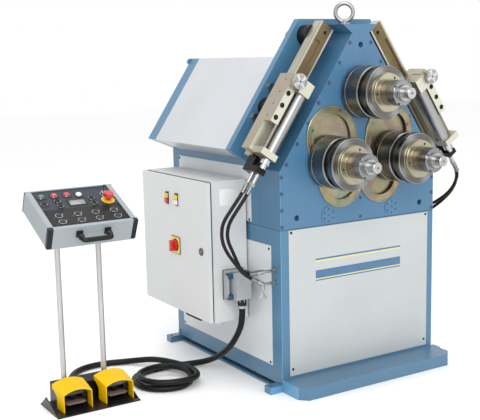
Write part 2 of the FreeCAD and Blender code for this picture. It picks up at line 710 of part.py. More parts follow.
def roll_hub(x, z, first_hole):
    """Clamping hub with three screw holes and the slotted round nut."""
    y1 = STACK_Y - REAR_RING_W - FORM_RING_W - GROOVE_W - FRONT_RING_W
    y2 = y1 - HUB_FLANGE_W
    y3 = y2 - HUB_LEN
    hub = turned([(SHAFT_R, y1), (HUB_FLANGE_R, y1), (HUB_FLANGE_R, y2 + 1), (HUB_FLANGE_R - 1, y2),
                  (HUB_R, y2), (HUB_R, y3), (SHAFT_R, y3)], x, z)
    for i in range(3):
        a = math.radians(first_hole + 120 * i)
        hx = x + HUB_HOLE_PITCH_R * math.cos(a)
        hz = z + HUB_HOLE_PITCH_R * math.sin(a)
        hub = hub.cut(rod_y(hx, hz, HUB_HOLE_R, y2 - 1, y2 + 8))
    nut = turned([(THREAD_R, y3), (NUT_R, y3), (NUT_R, y3 - NUT_W + 2), (NUT_R - 2, y3 - NUT_W),
                  (THREAD_R, y3 - NUT_W)], x, z)
    for i in range(NUT_SLOTS):
        slot = box(x - 4, x + 4, y3 - NUT_W - 1, y3 - NUT_W + 9, z + NUT_R - 5, z + NUT_R + 1)
        slot.rotate(vec(x, 0, z), vec(0, 1, 0), 30 + 360 / NUT_SLOTS * i)
        nut = nut.cut(slot)
    return group([hub, nut])


def guide_flange():
    """Wide plate behind the head block that carries the guide rails."""
    y0 = HEAD_DEPTH
    y1 = HEAD_DEPTH + FLANGE_T
    right = [(BODY_HALF, FLANGE_LOW_Z), (WING_X, WING_Z), (FLANGE_TOP_X, FLANGE_TOP_Z)]
    plate = prism_y(mirrored(right), y0, y1)
    plate = plate.cut(rod_y(UPPER_ROLL[0], UPPER_ROLL[1], SHAFT_R + RUN_FIT, y0 - 1, y1 + 1))
    for side in (-1, 1):
        for s in ROD_IN_S:
            x, z = slope_point(side, ROD_IN_N, s)
            plate = plate.cut(rod_y(x, z, ROD_R, y0 - 1, y1 + 1))
    return plate


def flange_bolts():
    """Hexagon bolt heads on the wings of the flange."""
    bolts = []
    radius = BOLT_AF / math.sqrt(3)
    for side in (-1, 1):
        for s in BOLT_IN_S:
            x, z = slope_point(side, BOLT_IN_N, s)
            hexagon = [(x + radius * math.cos(math.radians(60 * i)),
                        z + radius * math.sin(math.radians(60 * i))) for i in range(6)]
            bolts.append(prism_y(hexagon, HEAD_DEPTH - BOLT_HEAD, HEAD_DEPTH))
    return group(bolts)


def hood_outline(inset):
    """Right half of the hood's outline, moved inward by a sheet."""
    foot = HOOD_FOOT_Z
    if inset == 0:
        return [(BODY_HALF, foot), (WING_X, WING_Z), (HOOD_TOP_X, HOOD_TOP_Z)]
    return [(BODY_HALF - 2 * inset, foot), (BODY_HALF, foot + inset),
            (WING_X - 1.3 * inset, WING_Z + 0.5 * inset), (HOOD_TOP_X - 0.6 * inset, HOOD_TOP_Z - inset)]


def hood():
    """Sheet hood over the drive behind the flange."""
    y0 = HEAD_DEPTH + FLANGE_T
    outer = prism_y(mirrored(hood_outline(0)), y0, HOOD_REAR_Y)
    inner = prism_y(mirrored(hood_outline(SHEET)), y0 - 1, HOOD_REAR_Y + 1)
    floor = box(-BODY_HALF + 30, BODY_HALF - 30, y0 - 1, HOOD_REAR_Y + 1, HOOD_FOOT_Z - 1, HOOD_FOOT_Z + 20)
    return outer.cut(inner).cut(floor)


def rear_frame():
    """Deep frame that closes the hood at the back."""
    y1 = HOOD_REAR_Y + REAR_DEPTH
    outer = prism_y(mirrored(hood_outline(0)), HOOD_REAR_Y, y1)
    inner = prism_y(mirrored(hood_outline(25.0)), HOOD_REAR_Y - 1, y1 - WALL)
    lug = rod_y(-248.0, HOOD_TOP_Z - 12, 12.0, y1 - 1, y1 + 12)
    return outer.cut(inner).fuse(lug)


def eye_bolt():
    """Lifting eye on top of the head block."""
    base = rod((0, EYE_Y, TOP_Z), (0, 0, 1), EYE_COLLAR_R, EYE_COLLAR_H)
    centre_z = TOP_Z + EYE_COLLAR_H + EYE_RING_R + 4
    angle = math.radians(EYE_TURN)
    normal = vec(math.sin(-angle), -math.cos(angle), 0)
    ring = Part.makeTorus(EYE_RING_R, EYE_WIRE_R, vec(0, EYE_Y, centre_z), normal)
    neck = rod((0, EYE_Y, TOP_Z + EYE_COLLAR_H - 1), (0, 0, 1), 9.0, 8.0)
    return base.fuse([neck, ring])


def guide_rails():
    """Two bars that carry the sliding guides."""
    rails = []
    for side in (-1, 1):
        rail = slope_box(side, RAIL_N0, RAIL_N1, RAIL_S0, RAIL_S1, RAIL_Y0, RAIL_Y1)
        x, z = slope_point(side, RAIL_HOLE_N, RAIL_HOLE_S)
        rail = rail.cut(rod_y(x, z, RAIL_HOLE_R, RAIL_Y0 - 1, RAIL_Y1 + 1))
        rail = rail.cut(slope_box(side, GROOVE_N0, GROOVE_N1, GROOVE_S0, RAIL_S1 + 1,
                                  RAIL_Y0 - 1, RAIL_Y0 + GROOVE_DEPTH))
        for s in ROD_IN_S:
            x, z = slope_point(side, ROD_IN_N, s)
            rail = rail.cut(rod_y(x, z, ROD_R * 0.6, ROD_FRONT_Y, RAIL_Y1 + 1))
        rails.append(rail)
    return group(rails)


def standoffs():
    """Black sleeves between the rails and the flange."""
    sleeves = []
    for side in (-1, 1):
        for s in ROD_IN_S:
            x, z = slope_point(side, ROD_IN_N, s)
            sleeve = rod_y(x, z, SLEEVE_R, RAIL_Y1, HEAD_DEPTH)
            sleeves.append(sleeve.cut(rod_y(x, z, ROD_R, RAIL_Y1 - 1, HEAD_DEPTH + 1)))
    return group(sleeves)


def standoff_rods():
    """Steel rods through the sleeves and the flange."""
    rods = []
    for side in (-1, 1):
        for s in ROD_IN_S:
            x, z = slope_point(side, ROD_IN_N, s)
            thick = rod_y(x, z, ROD_R, RAIL_Y1, ROD_REAR_Y)
            rods.append(thick.fuse(rod_y(x, z, ROD_R * 0.6, ROD_FRONT_Y, RAIL_Y1 + 1)))
    return group(rods)


def guide_carriage(side):
    """Sliding guide: bar over the rail, tongue, end blocks and the peg."""
    n0 = RAIL_N1 + SLIDE_GAP
    top = slope_box(side, n0, GUIDE_N1, GUIDE_S0, GUIDE_STEP_S, GUIDE_FRONT_Y, GUIDE_REAR_Y)
    low = slope_box(side, n0, GUIDE_N1, GUIDE_STEP_S, GUIDE_S1, GUIDE_LOW_FRONT_Y, GUIDE_REAR_Y)
    face = RAIL_Y0 - SLIDE_GAP
    lip = slope_box(side, TOP_BLOCK_N0, n0, GUIDE_S0, GUIDE_S1, GUIDE_LOW_FRONT_Y, face)
    tongue = slope_box(side, GROOVE_N0 + SLIDE_GAP, GROOVE_N1 - SLIDE_GAP, GUIDE_S0, GUIDE_S1,
                       face - 1, RAIL_Y0 + GROOVE_DEPTH - SLIDE_GAP)
    block = slope_box(side, TOP_BLOCK_N0, n0, TOP_BLOCK_S0, BARREL_S0, BLOCK_FRONT_Y, face)
    foot = slope_box(side, TOP_BLOCK_N0, LOW_BLOCK_N1, BARREL_S1, LOW_BLOCK_S1, BLOCK_FRONT_Y,
                     GUIDE_LOW_FRONT_Y)
    body = top.fuse([low, lip, tongue, block, foot]).removeSplitter()
    for i in range(1, 4):
        x, z = slope_point(side, PEG_IN_N, PEG_IN_S + i * PEG_PITCH)
        body = body.cut(rod_y(x, z, PEG_HOLE_R, GUIDE_FRONT_Y - 1, GUIDE_FRONT_Y + 22))
    rod_bore = PISTON_ROD_R + RUN_FIT
    body = body.cut(slope_rod(side, BARREL_N, BARREL_Y, rod_bore, BARREL_S1 - 1, LOW_BLOCK_S1 + 1))
    x, z = slope_point(side, PEG_IN_N, PEG_IN_S)
    collar = rod_y(x, z, PEG_COLLAR_R, PEG_FRONT_Y + PEG_DISC, BLOCK_FRONT_Y + 20)
    disc = rod_y(x, z, PEG_R, PEG_FRONT_Y, PEG_FRONT_Y + PEG_DISC)
    peg = disc.fuse(collar).cut(rod_y(x, z, 6.0, PEG_FRONT_Y - 1, PEG_FRONT_Y + 6))
    return group([body, peg.cut(body)])


def guide_cylinder(side):
    """Chrome barrel with a threaded adjusting spindle beside it."""
    barrel = slope_rod(side, BARREL_N, BARREL_Y, BARREL_R, BARREL_S0, BARREL_S1)
    barrel = barrel.cut(slope_rod(side, BARREL_N, BARREL_Y, BARREL_BORE_R, BARREL_S0 + 6, BARREL_S1 + 1))
    spindle = slope_rod(side, SPINDLE_IN_N, SPINDLE_Y, SPINDLE_R, GUIDE_STEP_S, BARREL_S1)
    return group([barrel, spindle])


def piston_rods():
    """Piston rods with heads; they stay with the lower blocks."""
    rods = []
    for side in (-1, 1):
        thin = slope_rod(side, BARREL_N, BARREL_Y, PISTON_ROD_R, PISTON_S0, LUG_S0)
        piston_r = BARREL_BORE_R - RUN_FIT
        piston = slope_rod(side, BARREL_N, BARREL_Y, piston_r, PISTON_S0, PISTON_S0 + PISTON_LEN)
        nut = slope_rod(side, BARREL_N, BARREL_Y, ROD_NUT_R, ROD_NUT_S0, ROD_NUT_S1)
        rods.append(thin.fuse([piston, nut]).removeSplitter())
    return group(rods)


def cylinder_feet():
    """Black brackets below the rail ends that hold the piston rods."""
    feet = []
    for side in (-1, 1):
        plate = slope_box(side, LUG_N0, LUG_N1, LUG_S0, LUG_S1, LUG_FRONT_Y, LUG_REAR_Y)
        stem = slope_box(side, LUG_N0, LUG_N1, RAIL_S1, LUG_S0, LUG_STEM_Y, LUG_REAR_Y)
        feet.append(plate.fuse(stem).removeSplitter())
    return group(feet)


def hose_fittings():
    """Hexagons and ferrules below the brackets where the hoses start."""
    parts = []
    for side in (-1, 1):
        for n, s, y in (START_OUTER, START_INNER):
            ferrule = slope_rod(side, n, y, FERRULE_R, LUG_S1, s)
            collar = slope_rod(side, n, y, FITTING_R - 1.5, LUG_S1, LUG_S1 + FITTING_HEX)
            parts.append(ferrule.fuse(collar).removeSplitter())
    return group(parts)


def wall_pipes():
    """Pipes in the side walls with their end fittings and the drain valve's body."""
    wall = BODY_HALF
    parts = []
    high = rod((-wall, PIPE_Y, PIPE_HIGH_Z), (-1, 0, 0), PIPE_R, PIPE_OUT)
    end = rod((-wall - PIPE_OUT, PIPE_Y, PIPE_HIGH_Z), (-1, 0, 0), FITTING_R - 1, HIGH_END - PIPE_OUT)
    boss = rod((-wall, PIPE_Y, PIPE_HIGH_Z), (-1, 0, 0), FITTING_R + 2, 5.0)
    parts.append(high.fuse([end, boss]).removeSplitter())
    low = rod((-wall, PIPE_Y, PIPE_LOW_Z), (-1, 0, 0), PIPE_R, PIPE_OUT + 4)
    boss = rod((-wall, PIPE_Y, PIPE_LOW_Z), (-1, 0, 0), FITTING_R + 2, 5.0)
    elbow_x = -wall - PIPE_OUT - 4
    out, end_y, end_z = ELBOW_END
    run = vec(-wall - out - elbow_x, 0, end_z - PIPE_LOW_Z)
    elbow = rod((elbow_x, PIPE_Y, PIPE_LOW_Z), tuple(run), FITTING_R - 1, run.Length)
    ball = Part.makeSphere(FITTING_R - 0.5, vec(elbow_x, PIPE_Y, PIPE_LOW_Z))
    drain = rod((elbow_x, PIPE_Y, VALVE_Z), (0, 0, 1), VALVE_R, PIPE_LOW_Z - VALVE_Z)
    parts.append(low.fuse([boss, elbow, ball, drain]).removeSplitter())
    for z in RIGHT_PIPE_Z:
        parts.append(rod((wall, RIGHT_PIPE_Y, z), (1, 0, 0), FITTING_R, RIGHT_PIPE_OUT))
    return group(parts)


def valve_handle():
    """Two-legged wing handle under the drain valve."""
    x = -BODY_HALF - PIPE_OUT - 4
    knob_z = VALVE_Z - 13.0
    stem = rod((x, PIPE_Y, knob_z), (0, 0, 1), 3.0, VALVE_Z - knob_z - SLIDE_GAP)
    legs = [rod((x, PIPE_Y, knob_z), (run, 0, -18), 3.0, 23.0) for run in (-14, 13)]
    cap = Part.makeSphere(4.0, vec(x, PIPE_Y, knob_z))
    return stem.fuse(legs + [cap]).removeSplitter()


def cabinet_shell():
    """Open steel box for the switchgear on four spacers."""
    shell = box(BOX_X0, BOX_X1, BOX_Y0, BOX_Y1, BOX_Z0, BOX_Z1)
    t = BOX_SHEET
    shell = shell.cut(box(BOX_X0 - 1, BOX_X1 - t, BOX_Y0 + t, BOX_Y1 - t, BOX_Z0 + t, BOX_Z1 - t))
    parts = [shell]
    for y in (BOX_Y0 + 60, BOX_Y1 - 60):
        for z, face in ((BOX_Z0 + 45, PANEL_T), (BOX_Z1 - 40, PANEL_T)):
            parts.append(rod((BOX_X1, y, z), (1, 0, 0), 10.0, -BODY_HALF - face - BOX_X1))
    for z in (HINGE_LOW_Z, HINGE_HIGH_Z):
        leaf = box(BOX_X0, BOX_X0 + 3, BOX_Y1, DOOR_HINGE_Y, z, z + HINGE_LEN)
        knuckle = rod((DOOR_HINGE_X, DOOR_HINGE_Y, z), (0, 0, 1), HINGE_R, HINGE_LEN)
        pin = rod((DOOR_HINGE_X, DOOR_HINGE_Y, z + HINGE_LEN - 1), (0, 0, 1), HINGE_PIN_R, HINGE_LEN)
        parts.append(leaf.fuse([knuckle, pin]).removeSplitter())
    gland = rod((BOX_GLAND_X, BOX_Y0 + 24, BOX_Z0), (0, 0, -1), 9.0, 12.0)
    parts.append(gland)
    return group(parts)


def cabinet_door():
    """Folded door with two switch stations, the switch plate, a lock and its knuckles."""
    door = box(DOOR_X0, DOOR_X1, DOOR_Y0, DOOR_Y1, DOOR_Z0, DOOR_Z1)
    t = BOX_SHEET
    door = door.cut(box(DOOR_X0 + t, DOOR_X1 + 1, DOOR_Y0 + t, DOOR_Y1 - t, DOOR_Z0 + t, DOOR_Z1 - t))
    solids = [door]
    for y, z in STATIONS:
        w = STATION_W / 2
        h = STATION_H / 2
        solids.append(box(DOOR_X0 - 3, DOOR_X0, y - w, y + w, z - h, z + h))
        for dz in (-9.0, 9.0):
            solids.append(rod((DOOR_X0 - 3, y, z + dz), (-1, 0, 0), 7.5, 7.0))
    p = SWITCH_PLATE / 2
    plate = box(DOOR_X0 - 3, DOOR_X0, SWITCH_Y - p, SWITCH_Y + p, SWITCH_Z - p, SWITCH_Z + p)
    solids.append(plate)
    solids.append(rod((DOOR_X0, LOCK_Y, LOCK_Z), (-1, 0, 0), 11.0, 4.0))
    for z in (HINGE_LOW_Z, HINGE_HIGH_Z):
        z0 = z + HINGE_LEN + SLIDE_GAP
        knuckle = rod((DOOR_HINGE_X, DOOR_HINGE_Y, z0), (0, 0, 1), HINGE_R, HINGE_LEN)
        leaf = box(DOOR_X1 - 3, DOOR_HINGE_X, DOOR_Y1 - 1, DOOR_HINGE_Y + 1, z0, z0 + HINGE_LEN)
        bore = rod((DOOR_HINGE_X, DOOR_HINGE_Y, z0 - 1), (0, 0, 1), HINGE_PIN_R + RUN_FIT, HINGE_LEN + 2)
        solids.append(knuckle.fuse(leaf).removeSplitter().cut(bore).cut(door))
    return group(solids)


def main_switch():
    """Red rotary handle of the main switch."""
    x = DOOR_X0 - 3 - SLIDE_GAP
    base = rod((x, SWITCH_Y, SWITCH_Z), (-1, 0, 0), 20.0, 8.0)
    grip = box(x - 24, x - 8 + 0.5, SWITCH_Y - 5, SWITCH_Y + 5, SWITCH_Z - 20, SWITCH_Z + 20)
    return base.fuse(grip).removeSplitter()


def connector_base():
    """Flanged socket on the cabinet wall with its locking lever."""
    base = box(PLUG_X0, PLUG_X1, PLUG_Y0, BOX_Y0, PLUG_Z0, PLUG_Z1)
    lever = box(PLUG_X0 - 5, PLUG_X0, PLUG_Y0 - 12, PLUG_Y0 + 16, PLUG_Z0 + 12, PLUG_Z1 - 12)
    return base.fuse(lever).removeSplitter()


def connector_hood():
    """Plug hood with the cable gland below it."""
    shell = box(PLUG_HOOD_X0, PLUG_HOOD_X1, PLUG_HOOD_Y0, PLUG_Y0, PLUG_HOOD_Z0, PLUG_HOOD_Z1)
    edge = [e for e in shell.Edges if abs(e.CenterOfMass.y - PLUG_HOOD_Y0) < 0.1
            and abs(e.CenterOfMass.z - PLUG_HOOD_Z1) < 0.1]
    shell = shell.makeChamfer(20.0, edge)
    x, y, z = CABLE_A[0]
    gland = rod((x, y, z), (0, 0, 1), GLAND_R, GLAND_LEN)
    return shell.fuse(gland).removeSplitter()


def cable_coil():
    """The two loose turns lying on the floor, as their outer shape."""
    z0 = SOFT_GAP
    outer = Part.makeCylinder(COIL_R + CABLE_R, COIL_TOP - z0, vec(COIL_X, COIL_Y, z0))
    inner = Part.makeCylinder(COIL_R - CABLE_R, COIL_TOP, vec(COIL_X, COIL_Y, 0))
    return outer.cut(inner)


def desk_place(shape):
    """Tilt a shape from the desk's own frame into the world."""
    shape.rotate(vec(0, 0, 0), vec(1, 0, 0), DESK_TILT)
    shape.translate(vec(DESK_X, DESK_Y, DESK_Z))
    return shape


def desk_box():
    """Sloping control box."""
    half = DESK_HALF - DESK_CAP
    body = box(-half, half, 0, DESK_LEN, -DESK_T, 0)
    recess = box(-DESK_PANEL_HALF, DESK_PANEL_HALF, DESK_PANEL_D0, DESK_PANEL_D1, -DESK_RECESS, 1)
    well = rod((MUSHROOM_X, MUSHROOM_D, -DESK_RECESS - STOP_WELL), (0, 0, 1), STOP_STEM_R + 1, STOP_WELL + 1)
    placed = desk_place(body.cut([recess, well]))
    for x in POST_X:
        placed = placed.cut(rod((x, POST_Y, 0), (0, 0, 1), POST_R, desk_floor_z() + 20))
    return placed


def desk_floor_z():
    """Height of the box's underside above the posts."""
    tilt = math.radians(DESK_TILT)
    along = (POST_Y - DESK_Y - DESK_T * math.sin(tilt)) / math.cos(tilt)
    return DESK_Z + along * math.sin(tilt) - DESK_T * math.cos(tilt)


def desk_caps():
    """Dark end mouldings of the control box."""
    caps = []
    for side in (-1, 1):
        inner = side * (DESK_HALF - DESK_CAP)
        outer = side * DESK_HALF
        cap = box(min(inner, outer), max(inner, outer), 0, DESK_LEN, -DESK_T, 0)
        edges = [e for e in cap.Edges if abs(e.CenterOfMass.x - outer) < 0.1]
        caps.append(desk_place(cap.makeFillet(6.0, edges)))
    return group(caps)


def desk_panel():
    """Recessed control plate with its indicators and switches."""
    z0 = -DESK_RECESS
    plate = box(-DESK_PANEL_HALF, DESK_PANEL_HALF, DESK_PANEL_D0, DESK_PANEL_D1, z0, z0 + 2)
    solids = [plate]
    top = z0 + 2
    for x, d in LAMPS:
        solids.append(rod((x, d, top), (0, 0, 1), 7.0, 8.0))
    x, d = SQUARE_BUTTON
    solids.append(box(x - 7, x + 7, d - 7, d + 7, top, top + 7))
    for x, d in SELECTORS:
        solids.append(rod((x, d, top), (0, 0, 1), 6.5, 6.0))
    for x in BUTTON_X:
        for d in BUTTON_D:
            solids.append(rod((x, d, top), (0, 0, 1), 9.0, 5.0))
    solids.append(rod((KEY_SWITCH[0], KEY_SWITCH[1], top), (0, 0, 1), 9.0, 12.0))
    solids.append(rod((MUSHROOM_X, MUSHROOM_D, top), (0, 0, 1), 22.0, 2.0))
    bore = rod((MUSHROOM_X, MUSHROOM_D, z0 - 1), (0, 0, 1), STOP_STEM_R + RUN_FIT, 6.0)
    return desk_place(group([solid.cut(bore) for solid in solids]))


def desk_handle():
    """Bow handle across the front of the control box."""
    reach = -HANDLE_OUT
    legs = [rod((x, 0, HANDLE_H), (0, -1, 0), HANDLE_ROD_R, HANDLE_OUT) for x in (-HANDLE_X, HANDLE_X)]
    bar = rod((-HANDLE_X, reach, HANDLE_H), (1, 0, 0), HANDLE_ROD_R, 2 * HANDLE_X)
    ends = [Part.makeSphere(HANDLE_ROD_R, vec(x, reach, HANDLE_H)) for x in (-HANDLE_X, HANDLE_X)]
    return desk_place(bar.fuse(legs + ends).removeSplitter())


def stop_button():
    """Red mushroom of the emergency stop."""
    seat = 2 - DESK_RECESS + 2
    stem = rod((MUSHROOM_X, MUSHROOM_D, seat - 6), (0, 0, 1), STOP_STEM_R, 24.0)
    skirt = rod((MUSHROOM_X, MUSHROOM_D, seat + STOP_TRAVEL + SLIDE_GAP), (0, 0, 1), 11.0, 8.0)
    cap = Part.makeCone(18.0, 15.0, 12.0, vec(MUSHROOM_X, MUSHROOM_D, seat + 12.0))
    return desk_place(cap.fuse([stem, skirt]).removeSplitter())


def posts():
    """Two tubes between the tray and the control box."""
    tubes = []
    for x in POST_X:
        tubes.append(rod((x, POST_Y, POST_Z0), (0, 0, 1), POST_R, desk_floor_z() + 20 - POST_Z0))
    return group(tubes)


def prism_x(points, x0, x1):
    """A prism along X from an outline of (y, z) points."""
    ring = [vec(x0, y, z) for y, z in points]
    face = Part.Face(Part.makePolygon(ring + [ring[0]]))
    return face.extrude(vec(x1 - x0, 0, 0))


def tray():
    """Black folded base of the console with side gussets and the rear box."""
    plate = box(TRAY_X0, TRAY_X1, TRAY_Y0, TRAY_Y1, 0, TRAY_T)
    y0 = TRAY_BOX_Y0
    rear = prism_x([(y0, 0), (TRAY_Y1, 0), (TRAY_Y1, TRAY_BOX_TOP), (y0, TRAY_BOX_FRONT_TOP)],
                   TRAY_BOX_X0, TRAY_BOX_X1)
    parts = [rear]
    for x in (TRAY_X0, TRAY_X1 - 3):
        parts.append(prism_x([(TRAY_Y0 + 3, 0), (TRAY_Y1, 0), (GUSSET_Y, GUSSET_TOP)], x, x + 3))
    body = plate.fuse(parts).removeSplitter()
    for x in POST_X:
        body = body.cut(rod((x, POST_Y, POST_Z0), (0, 0, 1), POST_R, 30.0))
    return body


def arch(x, half, knee, top, y, base):
    """Closed outline of a pedal guard at one depth: upright walls and a low crown."""
    left = vec(x - half, y, base)
    left_knee = vec(x - half, y, knee)
    right_knee = vec(x + half, y, knee)
    right = vec(x + half, y, base)
    crown = Part.Arc(left_knee, vec(x, y, top), right_knee).toShape()
    edges = [Part.LineSegment(left, left_knee).toShape(), crown,
             Part.LineSegment(right_knee, right).toShape(), Part.LineSegment(right, left).toShape()]
    return Part.Wire(edges)


def pedal_guards():
    """Yellow hoods over the two foot pedals, cut away behind their side walls."""
    guards = []
    t = GUARD_T
    behind = [
        (GUARD_WALL_Y, TRAY_T - 1), (GUARD_WALL_Y, SWITCH_BODY_TOP - 4), (GUARD_Y1 - 12, GUARD_KNEE - 3),
        (GUARD_Y1 + 9, GUARD_KNEE), (GUARD_Y1 + 9, TRAY_T - 1)]
    for x in GUARD_X:
        rear_half = GUARD_HALF + GUARD_SPREAD
        front = arch(x, GUARD_HALF, GUARD_KNEE, GUARD_TOP, GUARD_Y0, TRAY_T)
        rear = arch(x, rear_half, GUARD_KNEE + GUARD_RISE, GUARD_TOP + GUARD_RISE, GUARD_Y1, TRAY_T)
        in_front = arch(x, GUARD_HALF - t, GUARD_KNEE - t, GUARD_TOP - t, GUARD_Y0 - 1, TRAY_T - 1)
        in_rear = arch(x, rear_half - t, GUARD_KNEE + GUARD_RISE - t, GUARD_TOP + GUARD_RISE - t,
                       GUARD_Y1 + 1, TRAY_T - 1)
        shell = Part.makeLoft([front, rear], True).cut(Part.makeLoft([in_front, in_rear], True))
        guards.append(shell.cut(prism_x(behind, x - 2 * GUARD_HALF, x + 2 * GUARD_HALF)))
    return group(guards)


def switch_bodies():
    """Black switch bodies that carry the guards and the pedal axles."""
    bodies = []
    for x in GUARD_X:
        half = SWITCH_BODY_HALF
        y_back = TRAY_BOX_Y0
        body = box(x - half, x + half, GUARD_Y0 + 38, y_back, TRAY_T, SWITCH_BODY_TOP)
        inner = PEDAL_HALF + 1.0
        hollow_top = SWITCH_BODY_TOP - 3
        body = body.cut(box(x - inner, x + inner, GUARD_Y0 + 37, PEDAL_Y1 + 7, TRAY_T + 2, hollow_top))
        step = box(x - inner, x + inner, GUARD_Y0 + 2, GUARD_Y0 + 39, TRAY_T, TRAY_T + 2)
        axle = rod((x - half - 1, PEDAL_Y1, PEDAL_Z), (1, 0, 0), PEDAL_AXLE_R, 2 * half + 2)
        bodies.append(body.fuse(step).removeSplitter().cut(axle))
    return group(bodies)


def pedal(x):
    """Treadle on its axle with the arm behind it."""
    plate = box(x - PEDAL_HALF, x + PEDAL_HALF, PEDAL_Y0, PEDAL_Y1 - 8, PEDAL_Z, PEDAL_Z + PEDAL_T)
    arm = box(x - 8, x + 8, PEDAL_Y1 - 30, PEDAL_Y1, PEDAL_Z - 3, PEDAL_Z + 3)
    axle = rod((x - PEDAL_HALF - 12, PEDAL_Y1, PEDAL_Z), (1, 0, 0), PEDAL_AXLE_R - RUN_FIT,
               2 * PEDAL_HALF + 24)
    return plate.fuse([arm, axle]).removeSplitter()


HOSE_LEFT_OUTER = hose_route(-1, START_OUTER, BENDS_LEFT_OUTER, ELBOW_END)
HOSE_LEFT_INNER = hose_route(-1, START_INNER, BENDS_LEFT_INNER, (HIGH_END, PIPE_Y, PIPE_HIGH_Z))
RIGHT_ENDS = [(RIGHT_PIPE_OUT, RIGHT_PIPE_Y, z) for z in RIGHT_PIPE_Z]
HOSE_RIGHT_OUTER = hose_route(1, START_OUTER, BENDS_RIGHT_OUTER, RIGHT_ENDS[0])
HOSE_RIGHT_INNER = hose_route(1, START_INNER, BENDS_RIGHT_INNER, RIGHT_ENDS[1])
LEFT = (-LOWER_ROLL_X, LOWER_ROLL_Z)
RIGHT = (LOWER_ROLL_X, LOWER_ROLL_Z)
PARTS = {
    "plinth": plinth(),
    "foot_bars": foot_bars(),
    "base_cabinet": base_cabinet(),
    "front_panel": box(FRONT_PANEL_X0, FRONT_PANEL_X1, -PANEL_T, 0, FRONT_PANEL_Z0, FRONT_PANEL_Z1),
    "side_panels": side_panels(),
    "head_block": head_block(),
    "upper_frame": upper_frame(),
    "arm_pivot": rod_y(0, PIVOT_Z, PIVOT_R, FRONT_WALL - PIVOT_SOCKET,
                       HEAD_DEPTH - REAR_WALL + PIVOT_SOCKET),
    "oval_rims": oval_rims(),
    "trunnion_covers": group([rod_y(s * TRUNNION_X, TRUNNION_Z, TRUNNION_R, -TRUNNION_RISE, 0)
                              for s in (-1, 1)]),
    "guide_flange": guide_flange(),
    "flange_bolts": flange_bolts(),
    "hood": hood(),
    "rear_frame": rear_frame(),
    "eye_bolt": eye_bolt(),
    "guide_rails": guide_rails(),
    "standoff_sleeves": standoffs(),
    "standoff_rods": standoff_rods(),
    "piston_rods": piston_rods(),
    "cylinder_feet": cylinder_feet(),
    "hose_fittings": hose_fittings(),
    "hose_left_outer": tube("hose_left_outer", HOSE_LEFT_OUTER, HOSE_R),
    "hose_left_inner": tube("hose_left_inner", HOSE_LEFT_INNER, HOSE_R),
    "hose_right_outer": tube("hose_right_outer", HOSE_RIGHT_OUTER, HOSE_R),
    "hose_right_inner": tube("hose_right_inner", HOSE_RIGHT_INNER, HOSE_R),
    "wall_pipes": wall_pipes(),
    "valve_handle": valve_handle(),
    "arm_left": swing_arm(-1, COVER_LEFT_Y, ARM_LEFT_Y),
    "arm_right": swing_arm(1, COVER_RIGHT_Y, ARM_RIGHT_Y),
    "roll_upper_shaft": roll_shaft(*UPPER_ROLL, UPPER_SHAFT_REAR, -1.0),
    "roll_upper_rings": roll_rings(*UPPER_ROLL),
    "roll_upper_hub": roll_hub(*UPPER_ROLL, UPPER_HUB_TURN),
    "roll_left_shaft": roll_shaft(*LEFT, LOWER_SHAFT_REAR, COVER_LEFT_Y - 1),
    "roll_left_rings": roll_rings(*LEFT),
    "roll_left_hub": roll_hub(*LEFT, LOWER_HUB_TURN),
    "roll_right_shaft": roll_shaft(*RIGHT, LOWER_SHAFT_REAR, COVER_RIGHT_Y - 1),
    "roll_right_rings": roll_rings(*RIGHT),
    "roll_right_hub": roll_hub(*RIGHT, LOWER_HUB_TURN),
    "guide_left": guide_carriage(-1),
    "guide_right": guide_carriage(1),
    "guide_cylinder_left": guide_cylinder(-1),
    "guide_cylinder_right": guide_cylinder(1),
    "cabinet_shell": cabinet_shell(),
    "cabinet_door": cabinet_door(),
    "main_switch": main_switch(),
    "connector_base": connector_base(),
    "connector_hood": connector_hood(),
    "cable_upper": tube("cable_upper", CABLE_A, CABLE_R),
    "cable_coil": cable_coil(),
    "cable_lower": tube("cable_lower", CABLE_B, CABLE_R),
    "desk_box": desk_box(),
    "desk_caps": desk_caps(),
    "desk_panel": desk_panel(),
    "desk_handle": desk_handle(),
    "stop_button": stop_button(),
    "console_posts": posts(),
    "console_tray": group([tray(), switch_bodies()]),
    "pedal_guards": pedal_guards(),
    "pedal_left": pedal(GUARD_X[0]),
    "pedal_right": pedal(GUARD_X[1]),
}

os.makedirs("parts", exist_ok=True)
for name, shape in PARTS.items():
    if not shape.isValid():
        print("not valid:", name)
    shape.exportStep("parts/" + name + ".step")
print("nodes", len(PARTS))
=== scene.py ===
"""Ring roller: the looks of a three-roll section bender, its guides, cabinet and console."""

import logging
import math
from dataclasses import dataclass
from enum import Enum, IntEnum
from typing import ClassVar, Dict, List, Optional, Sequence, Tuple, Union

import bmesh
import bpy
from mathutils import Matrix, Vector


